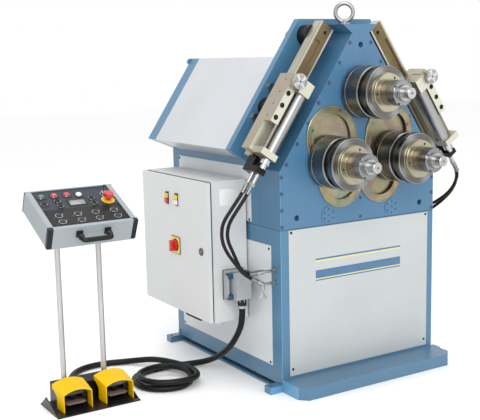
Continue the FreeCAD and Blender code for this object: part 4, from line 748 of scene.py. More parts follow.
class Blank:
    """A piece made from closed solids, given in millimetres on the axes of a seat."""

    def __init__(self, seat: Optional[Matrix] = None) -> None:
        """Start empty.

        Args:
            seat: local axes in millimetres, or none for the machine's own.
        """
        self.form = bmesh.new()
        self.seat = seat or Matrix.Identity(4)
        self.slots = 1

    def _take(self, part: bmesh.types.BMesh, slot: int) -> None:
        """Add one solid.

        Args:
            part: the solid, which is used up.
            slot: the material slot of its faces.
        """
        mesh = bpy.data.meshes.new("solid")
        part.to_mesh(mesh)
        part.free()
        count = len(self.form.faces)
        self.form.from_mesh(mesh)
        bpy.data.meshes.remove(mesh)
        self.form.faces.ensure_lookup_table()
        for face in self.form.faces[count:]:
            face.material_index = slot
        self.slots = max(self.slots, slot + 1)

    def _rings(self, rings: Sequence[Sequence[Vector]], slot: int, loop: bool = False) -> None:
        """Skin a row of rings, closed by a face or a pole at each end.

        Args:
            rings: points of each ring, one point for a pole.
            slot: the material slot.
            loop: join the last ring to the first in place of the ends.
        """
        part = bmesh.new()
        rows = [[part.verts.new(point) for point in ring] for ring in rings]
        for low, high in zip(rows, rows[1:] + rows[:1] if loop else rows[1:]):
            count = max(len(low), len(high))
            for i in range(count):
                k = (i + 1) % count
                if len(low) == 1:
                    part.faces.new((low[0], high[k], high[i]))
                elif len(high) == 1:
                    part.faces.new((low[i], low[k], high[0]))
                else:
                    part.faces.new((low[i], low[k], high[k], high[i]))
        for row in (rows[0], rows[-1]):
            if len(row) > 1 and not loop:
                part.faces.new(row)
        self._take(part, slot)

    @staticmethod
    def _circle(base: Point, axis: Point, radius: float, height: float, steps: int) -> List[Vector]:
        """Find the points of a circle.

        Args:
            base: where height nought is.
            axis: which way height runs.
            radius: the circle's radius, nought for a pole.
            height: how far along the axis it lies.
            steps: how many points it has when it isn't a pole.

        Returns:
            The points in order, or one point for a pole.
        """
        turn = Vector(UP).rotation_difference(Vector(axis))
        count = steps if radius > 0 else 1
        angles = [2.0 * math.pi * i / count for i in range(count)]
        return [Vector(base) + turn @ Vector((radius * math.cos(a), radius * math.sin(a), height))
                for a in angles]

    def block(self, low: Point, high: Point, bevel: float = 0.0, slot: int = 0) -> None:
        """Add a box with rounded edges.

        Args:
            low: the corner with the low coordinates.
            high: the corner with the high ones.
            bevel: width of the rounding, nought for none.
            slot: the material slot.
        """
        part = bmesh.new()
        bmesh.ops.create_cube(part, size=1.0)
        for vert in part.verts:
            vert.co = Vector([a + (b - a) * (c + 0.5) for a, b, c in zip(low, high, vert.co)])
        if bevel > 0:
            bmesh.ops.bevel(part, geom=part.edges[:], offset=bevel, segments=2, profile=0.5,
                            affect="EDGES")
        self._take(part, slot)

    def lathe(self, profile: Sequence[Pair], base: Point, axis: Point, slot: int = 0,
              steps: int = 36) -> None:
        """Turn a profile.

        Args:
            profile: radius and height of each step, radius nought for a pole.
            base: where height nought is.
            axis: which way height runs.
            slot: the material slot.
            steps: faces round the axis.
        """
        self._rings([self._circle(base, axis, radius, height, steps) for radius, height in profile],
                    slot)

    def disc(self, base: Point, axis: Point, radius: float, height: float, slot: int = 0,
             chamfer: float = 0.5, steps: int = 36) -> None:
        """A short round solid with a broken edge at its far end."""
        self.lathe([(radius, 0.0), (radius, height - chamfer), (radius - chamfer, height)],
                   base, axis, slot, steps)

    def ring(self, base: Point, axis: Point, radii: Pair, height: float, slot: int = 0,
             steps: int = 36, chamfer: float = 0.4) -> None:
        """Add a flat ring with a hole through it.

        Args:
            base: middle of its near face.
            axis: which way it stands up.
            radii: outer and inner radius.
            height: how thick it is.
            slot: the material slot.
            steps: faces round the axis.
            chamfer: broken edge at the outer radius.
        """
        outer, inner = radii
        profile = ((inner, 0.0), (outer, 0.0), (outer, height - chamfer), (outer - chamfer, height),
                   (inner, height))
        self._rings([self._circle(base, axis, radius, level, steps) for radius, level in profile],
                    slot, loop=True)

    def bead(self, outline: Sequence[Pair], y: float, thick: Pair, slot: int = 0,
             steps: int = 10) -> None:
        """Add a closed bead along an outline.

        Args:
            outline: x and z of its middle line.
            y: where the middle line lies.
            thick: half its thickness across the outline and along Y.
            slot: the material slot.
            steps: faces round the bead.
        """
        rings = []
        for i, (x, z) in enumerate(outline):
            ahead = Vector(outline[(i + 1) % len(outline)]) - Vector(outline[i - 1])
            across = Vector((ahead.y, -ahead.x)).normalized()
            angles = [2.0 * math.pi * k / steps for k in range(steps)]
            sizes = [(thick[0] * math.cos(a), thick[1] * math.sin(a)) for a in angles]
            rings.append([Vector((x + across.x * out, y + back, z + across.y * out))
                          for out, back in sizes])
        self._rings(rings, slot, loop=True)

    def tube(self, path: Sequence[Point], radius: float, slot: int = 0, steps: int = 16) -> None:
        """Add a round bar along a path.

        Args:
            path: points of its middle line.
            radius: the bar's radius.
            slot: the material slot.
            steps: faces round the bar.
        """
        points = [Vector(p) for p in path]
        rings = []
        side = None
        for i, point in enumerate(points):
            ahead = (points[min(i + 1, len(points) - 1)] - points[max(i - 1, 0)]).normalized()
            if side is None:
                side = ahead.orthogonal().normalized()
            side = (side - ahead * side.dot(ahead)).normalized()
            across = ahead.cross(side)
            rings.append([point + (side * math.cos(a) + across * math.sin(a)) * radius
                          for a in (2.0 * math.pi * k / steps for k in range(steps))])
        self._rings(rings, slot)

    def finish(self, name: str) -> bpy.types.Mesh:
        """Close the piece.

        Args:
            name: the mesh's name.

        Returns:
            The mesh in metres on the machine's axes, with its faces outwards.
        """
        self.form.transform(Matrix.Scale(1.0 / THOUSAND, 4) @ self.seat)
        bmesh.ops.recalc_face_normals(self.form, faces=self.form.faces)
        mesh = bpy.data.meshes.new(name)
        for _ in range(self.slots):
            mesh.materials.append(None)
        self.form.to_mesh(mesh)
        self.form.free()
        mesh.shade_smooth()
        mesh.set_sharp_from_angle(angle=math.radians(CRISP))
        return mesh


def bow(corners: Sequence[Point], radius: float, steps: int = 7) -> List[Point]:
    """Bend a bar's path: straight runs with a round bend at each corner between the ends.

    Args:
        corners: the ends, and the corners between them.
        radius: how far from its corner a bend starts.
        steps: pieces in each bend.

    Returns:
        Points of the path.
    """
    points = [Vector(c) for c in corners]
    path = [points[0]]
    for before, corner, after in zip(points, points[1:], points[2:]):
        start = corner + (before - corner).normalized() * radius
        end = corner + (after - corner).normalized() * radius
        for i in range(steps + 1):
            t = i / steps
            path.append(start * (1 - t) ** 2 + corner * (2 * t * (1 - t)) + end * t ** 2)
    path.append(points[-1])
    return [tuple(p) for p in path]


def egg(high: Point, low: Point, steps: int = 40) -> List[Pair]:
    """Draw an outline round two circles, with straight flanks.

    Args:
        high: x, z and radius of the first circle.
        low: x, z and radius of the second.
        steps: pieces in each arc.

    Returns:
        x and z of the outline's points.
    """
    x1, z1, r1 = high
    x2, z2, r2 = low
    way = math.atan2(z2 - z1, x2 - x1)
    open_angle = math.acos((r1 - r2) / math.hypot(x2 - x1, z2 - z1))
    points = []
    for x, z, r, start, end in ((x1, z1, r1, way + open_angle, way - open_angle + 2 * math.pi),
                                (x2, z2, r2, way - open_angle, way + open_angle)):
        points += [(x + r * math.cos(start + (end - start) * i / steps),
                    z + r * math.sin(start + (end - start) * i / steps)) for i in range(steps + 1)]
    return points


Spot = Tuple[Vector, Vector]


class Pattern(NodeKit):
    """A Geometry Nodes tree that puts one small shape on every point of a mesh."""

    def __init__(self, name: str, sizes: Dict[str, float]) -> None:
        """Start the tree with its named inputs.

        Args:
            name: the tree's name.
            sizes: default of each size input, in metres or turns.
        """
        super().__init__(bpy.data.node_groups.new(name, "GeometryNodeTree"))
        face = self.tree.interface
        face.new_socket("Points", in_out="INPUT", socket_type="NodeSocketGeometry")
        self.keys: Dict[str, str] = {}
        for key, value in sizes.items():
            socket = face.new_socket(key, in_out="INPUT", socket_type="NodeSocketFloat")
            socket.default_value = value
            self.keys[key] = socket.identifier
        for key in ("Finish", "Second Finish"):
            socket = face.new_socket(key, in_out="INPUT", socket_type="NodeSocketMaterial")
            self.keys[key] = socket.identifier
        seed = face.new_socket("Seed", in_out="INPUT", socket_type="NodeSocketInt")
        seed.default_value = SEED
        self.keys["Seed"] = seed.identifier
        face.new_socket("Points", in_out="OUTPUT", socket_type="NodeSocketGeometry")
        self.entry = self.node("NodeGroupInput", {}, {}).outputs

    def size(self, key: str) -> Signal:
        """A named size input."""
        return Signal(self, self.entry[key])

    def close(self, shape: bpy.types.NodeSocket, spin: float = 0.0) -> None:
        """Put the shape on the points, facing each point's way, and end the tree.

        Args:
            shape: the geometry to repeat, standing on the origin along Z.
            spin: the most that a copy turns at random about its own axis, in radians.
        """
        way = self.node("GeometryNodeInputNamedAttribute", {"data_type": "FLOAT_VECTOR"},
                        {"Name": "facing"})
        facing = self.node("FunctionNodeAlignRotationToVector", {"axis": "Z"},
                           {"Vector": way.outputs[0]})
        chance = self.node("FunctionNodeRandomValue", {"data_type": "FLOAT"},
                           {"Min": 0.0, "Max": spin, "Seed": self.entry["Seed"]})
        own = self.node("FunctionNodeAxisAngleToRotation", {},
                        {"Axis": (0.0, 0.0, 1.0), "Angle": chance.outputs["Value"]})
        turned = self.node("FunctionNodeRotateRotation", {"rotation_space": "LOCAL"},
                           {0: facing.outputs[0], 1: own.outputs[0]})
        copies = self.node("GeometryNodeInstanceOnPoints", {}, {
            "Points": self.entry["Points"], "Instance": shape, "Rotation": turned.outputs[0]})
        real = self.node("GeometryNodeRealizeInstances", {}, {"Geometry": copies.outputs[0]})
        second = self.node("GeometryNodeMaterialSelection", {},
                           {"Material": self.entry["Second Finish"]})
        rest = self.node("FunctionNodeBooleanMath", {"operation": "NOT"}, {0: second.outputs[0]})
        dressed = self.node("GeometryNodeSetMaterial", {}, {
            "Geometry": real.outputs[0], "Selection": rest.outputs[0],
            "Material": self.entry["Finish"]})
        self.node("NodeGroupOutput", {}, {0: dressed.outputs[0]})

    def bake(self, name: str, spots: Sequence[Spot], sizes: Dict[str, float],
             finish: bpy.types.Material,
             second: Optional[bpy.types.Material] = None) -> bpy.types.Mesh:
        """Run the tree once and keep its result as a plain mesh.

        Args:
            name: name of the mesh.
            spots: place in metres and facing of each copy.
            sizes: values of the named size inputs.
            finish: the shape's material.
            second: the material of its sockets.

        Returns:
            The mesh.
        """
        mesh = bpy.data.meshes.new(name + "_points")
        mesh.from_pydata([place for place, _ in spots], [], [])
        facing = mesh.attributes.new("facing", "FLOAT_VECTOR", "POINT")
        for item, (_, way) in zip(facing.data, spots):
            item.vector = way
        thing = bpy.data.objects.new(name + "_points", mesh)
        bpy.context.scene.collection.objects.link(thing)
        modifier = thing.modifiers.new("pattern", "NODES")
        modifier.node_group = self.tree
        for key, value in sizes.items():
            modifier[self.keys[key]] = value
        modifier[self.keys["Finish"]] = finish
        modifier[self.keys["Second Finish"]] = second or finish
        modifier[self.keys["Seed"]] = SEED
        ready = thing.evaluated_get(bpy.context.evaluated_depsgraph_get())
        baked = bpy.data.meshes.new_from_object(ready)
        baked.name = name
        thing.modifiers.remove(modifier)
        bpy.data.objects.remove(thing)
        return baked


def socket_screws() -> Pattern:
    """Build the tree of cap screws with a hexagon socket.

    Returns:
        The tree: a head half sunk in its face, on a dark disc a little wider than it that is
            painted shadow round the head; its socket is painted shade too.
    """
    kit = Pattern("socket_screws",
                  {"Head Radius": 0.006, "Head Height": 0.003, "Socket Radius": 0.003})
    high = kit.size("Head Height")
    head = kit.node("GeometryNodeMeshCylinder", {}, {
        "Vertices": 20, "Radius": kit.size("Head Radius"), "Depth": high * 2.0})
    well = kit.node("GeometryNodeMeshCylinder", {}, {
        "Vertices": 6, "Radius": kit.size("Socket Radius"), "Depth": high * 1.4})
    raised = kit.node("GeometryNodeTransform", {}, {
        "Geometry": well.outputs[0], "Translation": kit.joined(0.0, 0.0, high)})
    # the socket's walls are near-black, painted shade
    dark = kit.node("GeometryNodeSetMaterial", {}, {
        "Geometry": raised.outputs[0], "Material": kit.entry["Second Finish"]})
    bored = kit.node("GeometryNodeMeshBoolean", {"operation": "DIFFERENCE"}, {
        "Mesh 1": head.outputs[0], "Mesh 2": dark.outputs[0]})
    # a thin near-black disc under each head, painted shadow of its counterbore
    shadow_disc = kit.node("GeometryNodeMeshCylinder", {}, {
        "Vertices": 20, "Radius": kit.size("Head Radius") * 1.28, "Depth": 0.0007})
    shaded = kit.node("GeometryNodeSetMaterial", {}, {
        "Geometry": shadow_disc.outputs[0], "Material": kit.entry["Second Finish"]})
    both = kit.node("GeometryNodeJoinGeometry", {}, {})
    for part in (shaded, bored):
        kit.tree.links.new(part.outputs[0], both.inputs[0])
    kit.close(both.outputs[0], math.pi / 3.0)
    return kit


def screw_threads() -> Pattern:
    """Build the tree of a thread's ridge wound round a bar.

    Returns:
        The tree: a spiral with a square profile.
    """
    kit = Pattern("screw_threads",
                  {"Bar Radius": 0.0065, "Length": 0.08, "Turns": 20.0, "Ridge": 0.0011})
    wound = kit.node("GeometryNodeCurveSpiral", {}, {
        "Resolution": 26, "Rotations": kit.size("Turns"), "Start Radius": kit.size("Bar Radius"),
        "End Radius": kit.size("Bar Radius"), "Height": kit.size("Length")})
    ridge = kit.node("GeometryNodeCurvePrimitiveCircle", {},
                     {"Resolution": 4, "Radius": kit.size("Ridge")})
    swept = kit.node("GeometryNodeCurveToMesh", {}, {
        "Curve": wound.outputs[0], "Profile Curve": ridge.outputs[0], "Fill Caps": True})
    kit.close(swept.outputs[0])
    return kit


def round_ridges() -> Pattern:
    """Build the tree of round ridges half sunk in a surface, such as louvres and tread ribs.

    Returns:
        The tree: a round bar that lies along X.
    """
    kit = Pattern("round_ridges", {"Length": 0.2, "Radius": 0.004})
    bar = kit.node("GeometryNodeMeshCylinder", {}, {
        "Vertices": 12, "Radius": kit.size("Radius"), "Depth": kit.size("Length")})
    laid = kit.node("GeometryNodeTransform", {}, {
        "Geometry": bar.outputs[0], "Rotation": (0.0, math.pi / 2.0, 0.0)})
    kit.close(laid.outputs[0])
    return kit


# ------------------------------------------------------------------- the pieces

@dataclass(frozen=True)
class ScrewSize:
    """Sizes of a cap screw in millimetres."""

    head: float
    height: float
    socket: float

    def inputs(self) -> Dict[str, float]:
        """Values of the screw tree's inputs, in metres."""
        return {"Head Radius": self.head / THOUSAND, "Head Height": self.height / THOUSAND,
                "Socket Radius": self.socket / THOUSAND}


class Workshop:
    """Dresses the solids and turns meshes into pieces that ride on a body."""

    ridge_share: ClassVar[float] = 0.00032      # a thread's ridge in metres, over its pitch

    def __init__(self, finishes: Finishes) -> None:
        """Keep the materials and build the trees of repeated shapes.

        Args:
            finishes: every material.
        """
        self.finishes = finishes
        self.screws = socket_screws()
        self.threads = screw_threads()
        self.ridges = round_ridges()

    def node(self, name: str, finish: str) -> None:
        """Dress a solid of the frame.

        Args:
            name: the solid's name.
            finish: its material's name.
        """
        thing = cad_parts[name]
        thing.data.materials.clear()
        thing.data.materials.append(self.finishes.get(finish))

    def piece(self, name: str, mesh: bpy.types.Mesh, finishes: Sequence[str],
              body: str = "frame", replaces: Sequence[str] = ()) -> None:
        """Make a mesh a piece.

        Args:
            name: the piece's name.
            mesh: its mesh, already in place.
            finishes: names of its materials in slot order, or none to keep the mesh's own.
            body: the body that it rides on.
            replaces: solids that it stands for.
        """
        for number, finish in enumerate(finishes):
            mesh.materials[number] = self.finishes.get(finish)
        thing = bpy.data.objects.new(name, mesh)
        bpy.context.scene.collection.objects.link(thing)
        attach(thing, body)
        if replaces:
            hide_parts(*replaces)
        LOG.info("piece %s rides on %s", name, body)

    def solid(self, name: str, blank: Blank, finishes: Sequence[str], slot: str,
              body: str = "frame", replaces: Sequence[str] = ()) -> None:
        """Close a blank and make it a piece, with the arguments that piece has."""
        self.piece(name, blank.finish(name), finishes, body, replaces)

    def screw_set(self, name: str, spots: Sequence[Spot], size: ScrewSize, finish: str, slot: str,
                  body: str = "frame") -> None:
        """Make cap screws of one size.

        Args:
            name: the piece's name.
            spots: place and facing of each screw.
            size: the screws' sizes.
            finish: the heads' material.
            slot: the record's material slot; not used.
            body: the body that they ride on.
        """
        # the sockets and the disc under each head are painted shade
        mesh = self.screws.bake(name, spots, size.inputs(), self.finishes.get(finish),
                                self.finishes.get("socket_dark"))
        self.piece(name, mesh, (), body)

    def thread(self, name: str, spots: Sequence[Spot], radius: float, length: float, pitch: float,
               finish: str, slot: str, body: str) -> None:
        """Make a thread on a bar, with its sizes in millimetres.

        Args:
            name: the piece's name.
            spots: start and direction of the thread.
            radius: the bar's radius.
            length: the thread's length.
            pitch: its pitch.
            finish: its material.
            slot: the record's material slot; not used.
            body: the body that it rides on.
        """
        values = {"Bar Radius": radius / THOUSAND, "Length": length / THOUSAND,
                  "Turns": length / pitch, "Ridge": pitch * self.ridge_share}
        mesh = self.threads.bake(name, spots, values, self.finishes.get(finish))
        self.piece(name, mesh, (), body)

    def ridge_set(self, name: str, spots: Sequence[Spot], length: float, radius: float,
                  finish: str, slot: str, body: str = "frame") -> None:
        """Make round ridges of one size, in millimetres.

        Args:
            name: the piece's name.
            spots: place and facing of each ridge.
            length: how long each is.
            radius: its radius.
            finish: their material.
            slot: the record's material slot; not used.
            body: the body that they ride on.
        """
        values = {"Length": length / THOUSAND, "Radius": radius / THOUSAND}
        mesh = self.ridges.bake(name, spots, values, self.finishes.get(finish))
        self.piece(name, mesh, (), body)


@dataclass
class SubAssembly:
    """A group of the machine's solids with the pieces that go on them, sizes in millimetres."""

    nodes: ClassVar[Dict[str, str]] = {}
    shop: Workshop

    def dress(self) -> None:
        """Give each solid its finish."""
        for node, finish in self.nodes.items():
            self.shop.node(node, finish)

    def build(self) -> None:
        """Make the pieces of the group."""


def spots(places: Sequence[Point], way: Point) -> List[Spot]:
    """Places in millimetres that all face one way."""
    return [(mm(*place), Vector(way)) for place in places]


@dataclass
class Studio:
    """Camera, lights and floor, in metres; each lamp has its name, place, aim, side and watts."""

    lamps: ClassVar[Tuple[Tuple[str, Point, Point, float, float], ...]] = (
        ("key", (-2.1, -3.5, 3.0), (-0.1, 0.0, 0.6), 2.4, 94.0),
        ("fill", (2.8, -3.2, 1.9), (0.0, 0.0, 0.7), 2.6, 14.0),
        ("top", (-0.2, 0.6, 4.2), (0.0, 0.2, 0.5), 3.0, 45.0))
    lens: float = 69.854
    sensor: float = 36.0
    clip: Pair = (0.05, 60.0)
    place: Point = (-2.0595028, -2.5209444, 1.1393161)
    turn: Point = (1.4072030827, 0.0207885748, -0.5578553286)
    world: float = 1.0
    floor_low: Pair = (-14.0, -10.0)
    floor_high: Pair = (14.0, 16.0)
    floor_colour: Colour = (0.97, 0.97, 0.965, 1.0)
    floor_rough: float = 0.7

    def camera(self) -> None:
        """Set the camera."""
        data = bpy.data.cameras.new("camera")
        data.sensor_fit = "HORIZONTAL"
        data.sensor_width = self.sensor
        data.lens = self.lens
        data.clip_start, data.clip_end = self.clip
        thing = bpy.data.objects.new("camera", data)
        thing.location = self.place
        thing.rotation_euler = self.turn
        bpy.context.scene.collection.objects.link(thing)
        bpy.context.scene.camera = thing

    def lamp(self, name: str, place: Point, aim: Point, size: float, power: float) -> None:
        """Hang a soft square light.

        Args:
            name: its name.
            place: where it hangs, in metres.
            aim: the point that it faces.
            size: length of its side.
            power: in watts.
        """
        data = bpy.data.lights.new(name, "AREA")
        data.shape = "SQUARE"
        data.size = size
        data.energy = power
        thing = bpy.data.objects.new(name, data)
        thing.location = place
        way = Vector(aim) - Vector(place)
        thing.rotation_euler = way.to_track_quat("-Z", "Y").to_euler()
        bpy.context.scene.collection.objects.link(thing)

    def build(self) -> None:
        """Make the lights, the sky and the floor."""
        bpy.context.scene.view_settings.view_transform = "Standard"
        for lamp in self.lamps:
            self.lamp(*lamp)
        world = bpy.data.worlds.new("studio")
        world.use_nodes = True
        background = world.node_tree.nodes["Background"]
        background.inputs[0].default_value = (1.0, 1.0, 1.0, 1.0)
        background.inputs[1].default_value = self.world
        bpy.context.scene.world = world
        (x0, y0), (x1, y1) = self.floor_low, self.floor_high
        mesh = bpy.data.meshes.new("floor")
        mesh.from_pydata([(x0, y0, 0), (x1, y0, 0), (x1, y1, 0), (x0, y1, 0)], [], [(0, 1, 2, 3)])
        kit = ShaderKit("floor_pale")
        kit.feed("Base Color", self.floor_colour)
        kit.feed("Roughness", self.floor_rough)
        mesh.materials.append(kit.material)
        floor = bpy.data.objects.new("floor", mesh)
        bpy.context.scene.collection.objects.link(floor)


@dataclass
class Cords(SubAssembly):
    """The hoses and the control cable: diameters and lengths in metres, routes in millimetres."""

    hose_diameter: float = 0.012
    cable_diameter: float = 0.022
    hose_lengths: Tuple[float, ...] = (0.426, 0.390, 0.357, 0.334)
    cable_length: float = 2.4
    turn_steps: int = 8
    round_steps: int = 4
    left_outer: Route = (
        (-459.9, 19, 727.1), (-480.2, 19, 697.3), (-518, 20, 652), (-554, 23, 606), (-555, 26, 553),
        (-535, 28, 508), (-503, 27, 466), (-473, 29, 429), (-434, 38, 404.1), (-412, 38, 391.5))
    left_inner: Route = (
        (-451.1, 3, 722.3), (-471.3, 3, 692.5), (-504, 8, 649), (-535, 15, 604), (-537, 22, 556),
        (-512, 31, 511), (-488, 41, 469), (-476, 44, 445.5), (-459, 43, 429.5), (-438, 38, 422),
        (-414, 38, 422))
    right_outer: Route = (
        (459.9, 19, 727.1), (480.2, 19, 697.3), (494, 34, 655), (495, 56, 618), (486, 80, 588),
        (473, 106, 561), (456, 130, 538), (424, 148, 520), (347, 148, 520))
    right_inner: Route = (
        (451.1, 3, 722.3), (471.3, 3, 692.5), (479, 22, 655), (482, 46, 624), (476, 70, 599),
        (465, 96, 577), (448, 124, 557), (416, 148, 548), (347, 148, 548))
    cable: Route = (
        (-405, 150, 276), (-405, 150, 228), (-408, 182, 168), (-406, 240, 110), (-410, 305, 62),
        (-424, 372, 26), (-466, 420, 11.5), (-530, 438, 11.5), (-590, 445, 11.5), (-640, 442, 11.5),
        (-686, 422, 11.5), (-717, 390, 11.5), (-731, 345, 11.5), (-727, 296, 11.5),
        (-706, 258, 11.5), (-667, 230, 11.5), (-619, 221, 11.5), (-577, 234, 14), (-551, 262, 22),
        (-544, 300, 33), (-552, 345, 34), (-574, 385, 34), (-608, 404, 34), (-650, 400, 34),
        (-688, 385, 34), (-714, 360, 34), (-723, 322, 34), (-716, 280, 34), (-692, 246, 34),
        (-655, 224, 34), (-612, 214, 34), (-570, 216, 35), (-540, 238, 35), (-527, 276, 35),
        (-527, 320, 35), (-534, 364, 35), (-545, 400, 35), (-562, 445, 34.5), (-585, 494, 31),
        (-612, 542, 21), (-660, 586, 11.5), (-730, 612, 11.5), (-808, 612, 11.5), (-864, 580, 11.5),
        (-908, 520, 11.5), (-930, 450, 11.5), (-930, 376, 11.5))

    def hoses(self) -> Dict[str, Route]:
        """Route of each hose by its name."""
        return {"left_outer": self.left_outer, "left_inner": self.left_inner,
                "right_outer": self.right_outer, "right_inner": self.right_inner}

    def curve(self, name: str, points: Sequence[Point], diameter: float) -> bpy.types.Object:
        """Lay a smooth tube along control points.

        Args:
            name: the piece's name.
            points: the control points, in millimetres.
            diameter: the tube's, in metres.

        Returns:
            The curve's object.
        """
        data = bpy.data.curves.new(name, "CURVE")
        data.dimensions = "3D"
        data.resolution_u = self.turn_steps
        data.bevel_depth = diameter / 2
        data.bevel_resolution = self.round_steps
        data.use_fill_caps = True
        spline = data.splines.new("NURBS")
        spline.points.add(len(points) - 1)
        for target, source in zip(spline.points, points):
            target.co = (*mm(*source), 1.0)
        spline.order_u = 3
        spline.use_endpoint_u = True
        thing = bpy.data.objects.new(name, data)
        bpy.context.scene.collection.objects.link(thing)
        return thing

    def build(self) -> None:
        """Make each cord in place of the frame's own and hang it on the frame."""
        for (name, points), length in zip(self.hoses().items(), self.hose_lengths):
            finish = "hose_brown" if name == "left_outer" else "hose_rubber"
            hose = self.curve(f"hose_{name}_line", points, self.hose_diameter)
            hose.data.materials.append(self.shop.finishes.get(finish))
            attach(hose, "frame")
            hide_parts(f"hose_{name}")
            mm(*points[0])
        line = self.curve("control_cable", self.cable, self.cable_diameter)
        line.data.materials.append(self.shop.finishes.get("cable_sheath"))
        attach(line, "frame")
        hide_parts("cable_upper", "cable_coil", "cable_lower")
        mm(*self.cable[0])
        LOG.info("hoses and cable made")


@dataclass
class HeadBlock(SubAssembly):
    """The head: its screws, the pins' covers, and the beads of the egg-shaped openings."""

    nodes: ClassVar[Dict[str, str]] = {
        "head_block": "blue_machined", "upper_frame": "blue_enamel", "arm_pivot": "bright_steel",
        "oval_rims": "rim_zinc", "trunnion_covers": "blue_machined", "arm_left": "cover_zinc",
        "arm_right": "rim_zinc"}
    edge_from: Pair = (45.6, 1177.0)
    edge_to: Pair = (314.0, 782.0)
    edge_count: int = 7
    column_x: float = 335.0
    column_z: Tuple[float, ...] = (741.0, 686.0, 630.0, 573.0)
    edge_screw: ScrewSize = ScrewSize(5.4, 1.6, 2.9)
    middle_z: Pair = (642.0, 575.0)
    middle_screw: ScrewSize = ScrewSize(4.6, 1.8, 2.4)
    rim_places: Pairs = ((-91.0, 950.0), (-206.0, 889.0), (211.0, 887.0), (91.0, 950.0))
    rim_y: float = -4.0
    rim_screw: ScrewSize = ScrewSize(4.2, 1.8, 2.2)
    pin_x: float = 141.0
    pin_z: float = 595.0
    pin_pitch: float = 21.0
    pin_count: int = 6
    pin_from: float = 30.0
    pin_face: float = -2.0
    pin_screw: ScrewSize = ScrewSize(2.5, 1.2, 1.3)
    plug: Pair = (3.6, 1.4)
    plug_dimple: Pair = (1.6, 0.4)
    egg_high: Point = (128.0, 863.0, 80.0)
    egg_low: Point = (88.0, 712.5, 68.5)
    rim_width: float = 23.6
    inner_bead: Pair = (2.6, 4.3)
    inner_bead_y: float = -0.6
    outer_bead: Pair = (2.2, 2.2)
    outer_bead_y: float = -3.2

    def screws(self) -> None:
        """Make the screws of the edges, the middle, the rims and the pins' covers."""
        (x0, z0), (x1, z1) = self.edge_from, self.edge_to
        places: List[Point] = []
        for side in SIDES.values():
            for i in range(self.edge_count):
                t = i / (self.edge_count - 1)
                places.append((side * (x0 + (x1 - x0) * t), 0.0, z0 + (z1 - z0) * t))
            places += [(side * self.column_x, 0.0, z) for z in self.column_z]
        self.shop.screw_set("head_edge_screws", spots(places, FRONT), self.edge_screw, "screw_blue",
                            "blue_paint")
        places = [(0.0, 0.0, z) for z in self.middle_z]
        self.shop.screw_set("head_small_screws", spots(places, FRONT), self.middle_screw,
                            "screw_blue", "blue_paint")
        places = [(x, self.rim_y, z) for x, z in self.rim_places]
        self.shop.screw_set("rim_screws", spots(places, FRONT), self.rim_screw, "rim_zinc",
                            "zinc_yellow")
        places = []
        for side in SIDES.values():
            for i in range(self.pin_count):
                a = math.radians(self.pin_from + 360.0 / self.pin_count * i)
                places.append((side * self.pin_x + self.pin_pitch * math.cos(a), self.pin_face,
                               self.pin_z + self.pin_pitch * math.sin(a)))
        self.shop.screw_set("pin_cover_screws", spots(places, FRONT), self.pin_screw, "screw_blue",
                            "blue_paint")

    def build(self) -> None:
        """Make the head's screws, plugs and beads."""
        self.screws()
        blank = Blank()
        for side in SIDES.values():
            x = side * self.pin_x
            blank.disc((x, self.pin_face + 0.1, self.pin_z), FRONT, *self.plug, chamfer=0.4,
                       steps=20)
            # the dimple is a near-black disc, painted shade
            blank.disc((x, self.pin_face - 1.2, self.pin_z), FRONT, *self.plug_dimple, slot=1,
                       chamfer=0.1, steps=12)
        self.shop.solid("pin_cover_plugs", blank, ("screw_blue", "socket_dark"), "blue_paint")
        blank = Blank()
        wide_high = (*self.egg_high[:2], self.egg_high[2] + self.rim_width)
        wide_low = (*self.egg_low[:2], self.egg_low[2] + self.rim_width)
        for side in SIDES.values():
            inner = egg(self.egg_high, self.egg_low)
            blank.bead([(side * x, z) for x, z in inner], self.inner_bead_y, self.inner_bead)
            outer = egg(wide_high, wide_low)
            blank.bead([(side * x, z) for x, z in outer], self.outer_bead_y, self.outer_bead)
        # the beads' zinc is paler than the rim's, a painted highlight on the rounded rims
        self.shop.solid("opening_beads", blank, ("rim_bead_zinc",), "zinc_yellow")


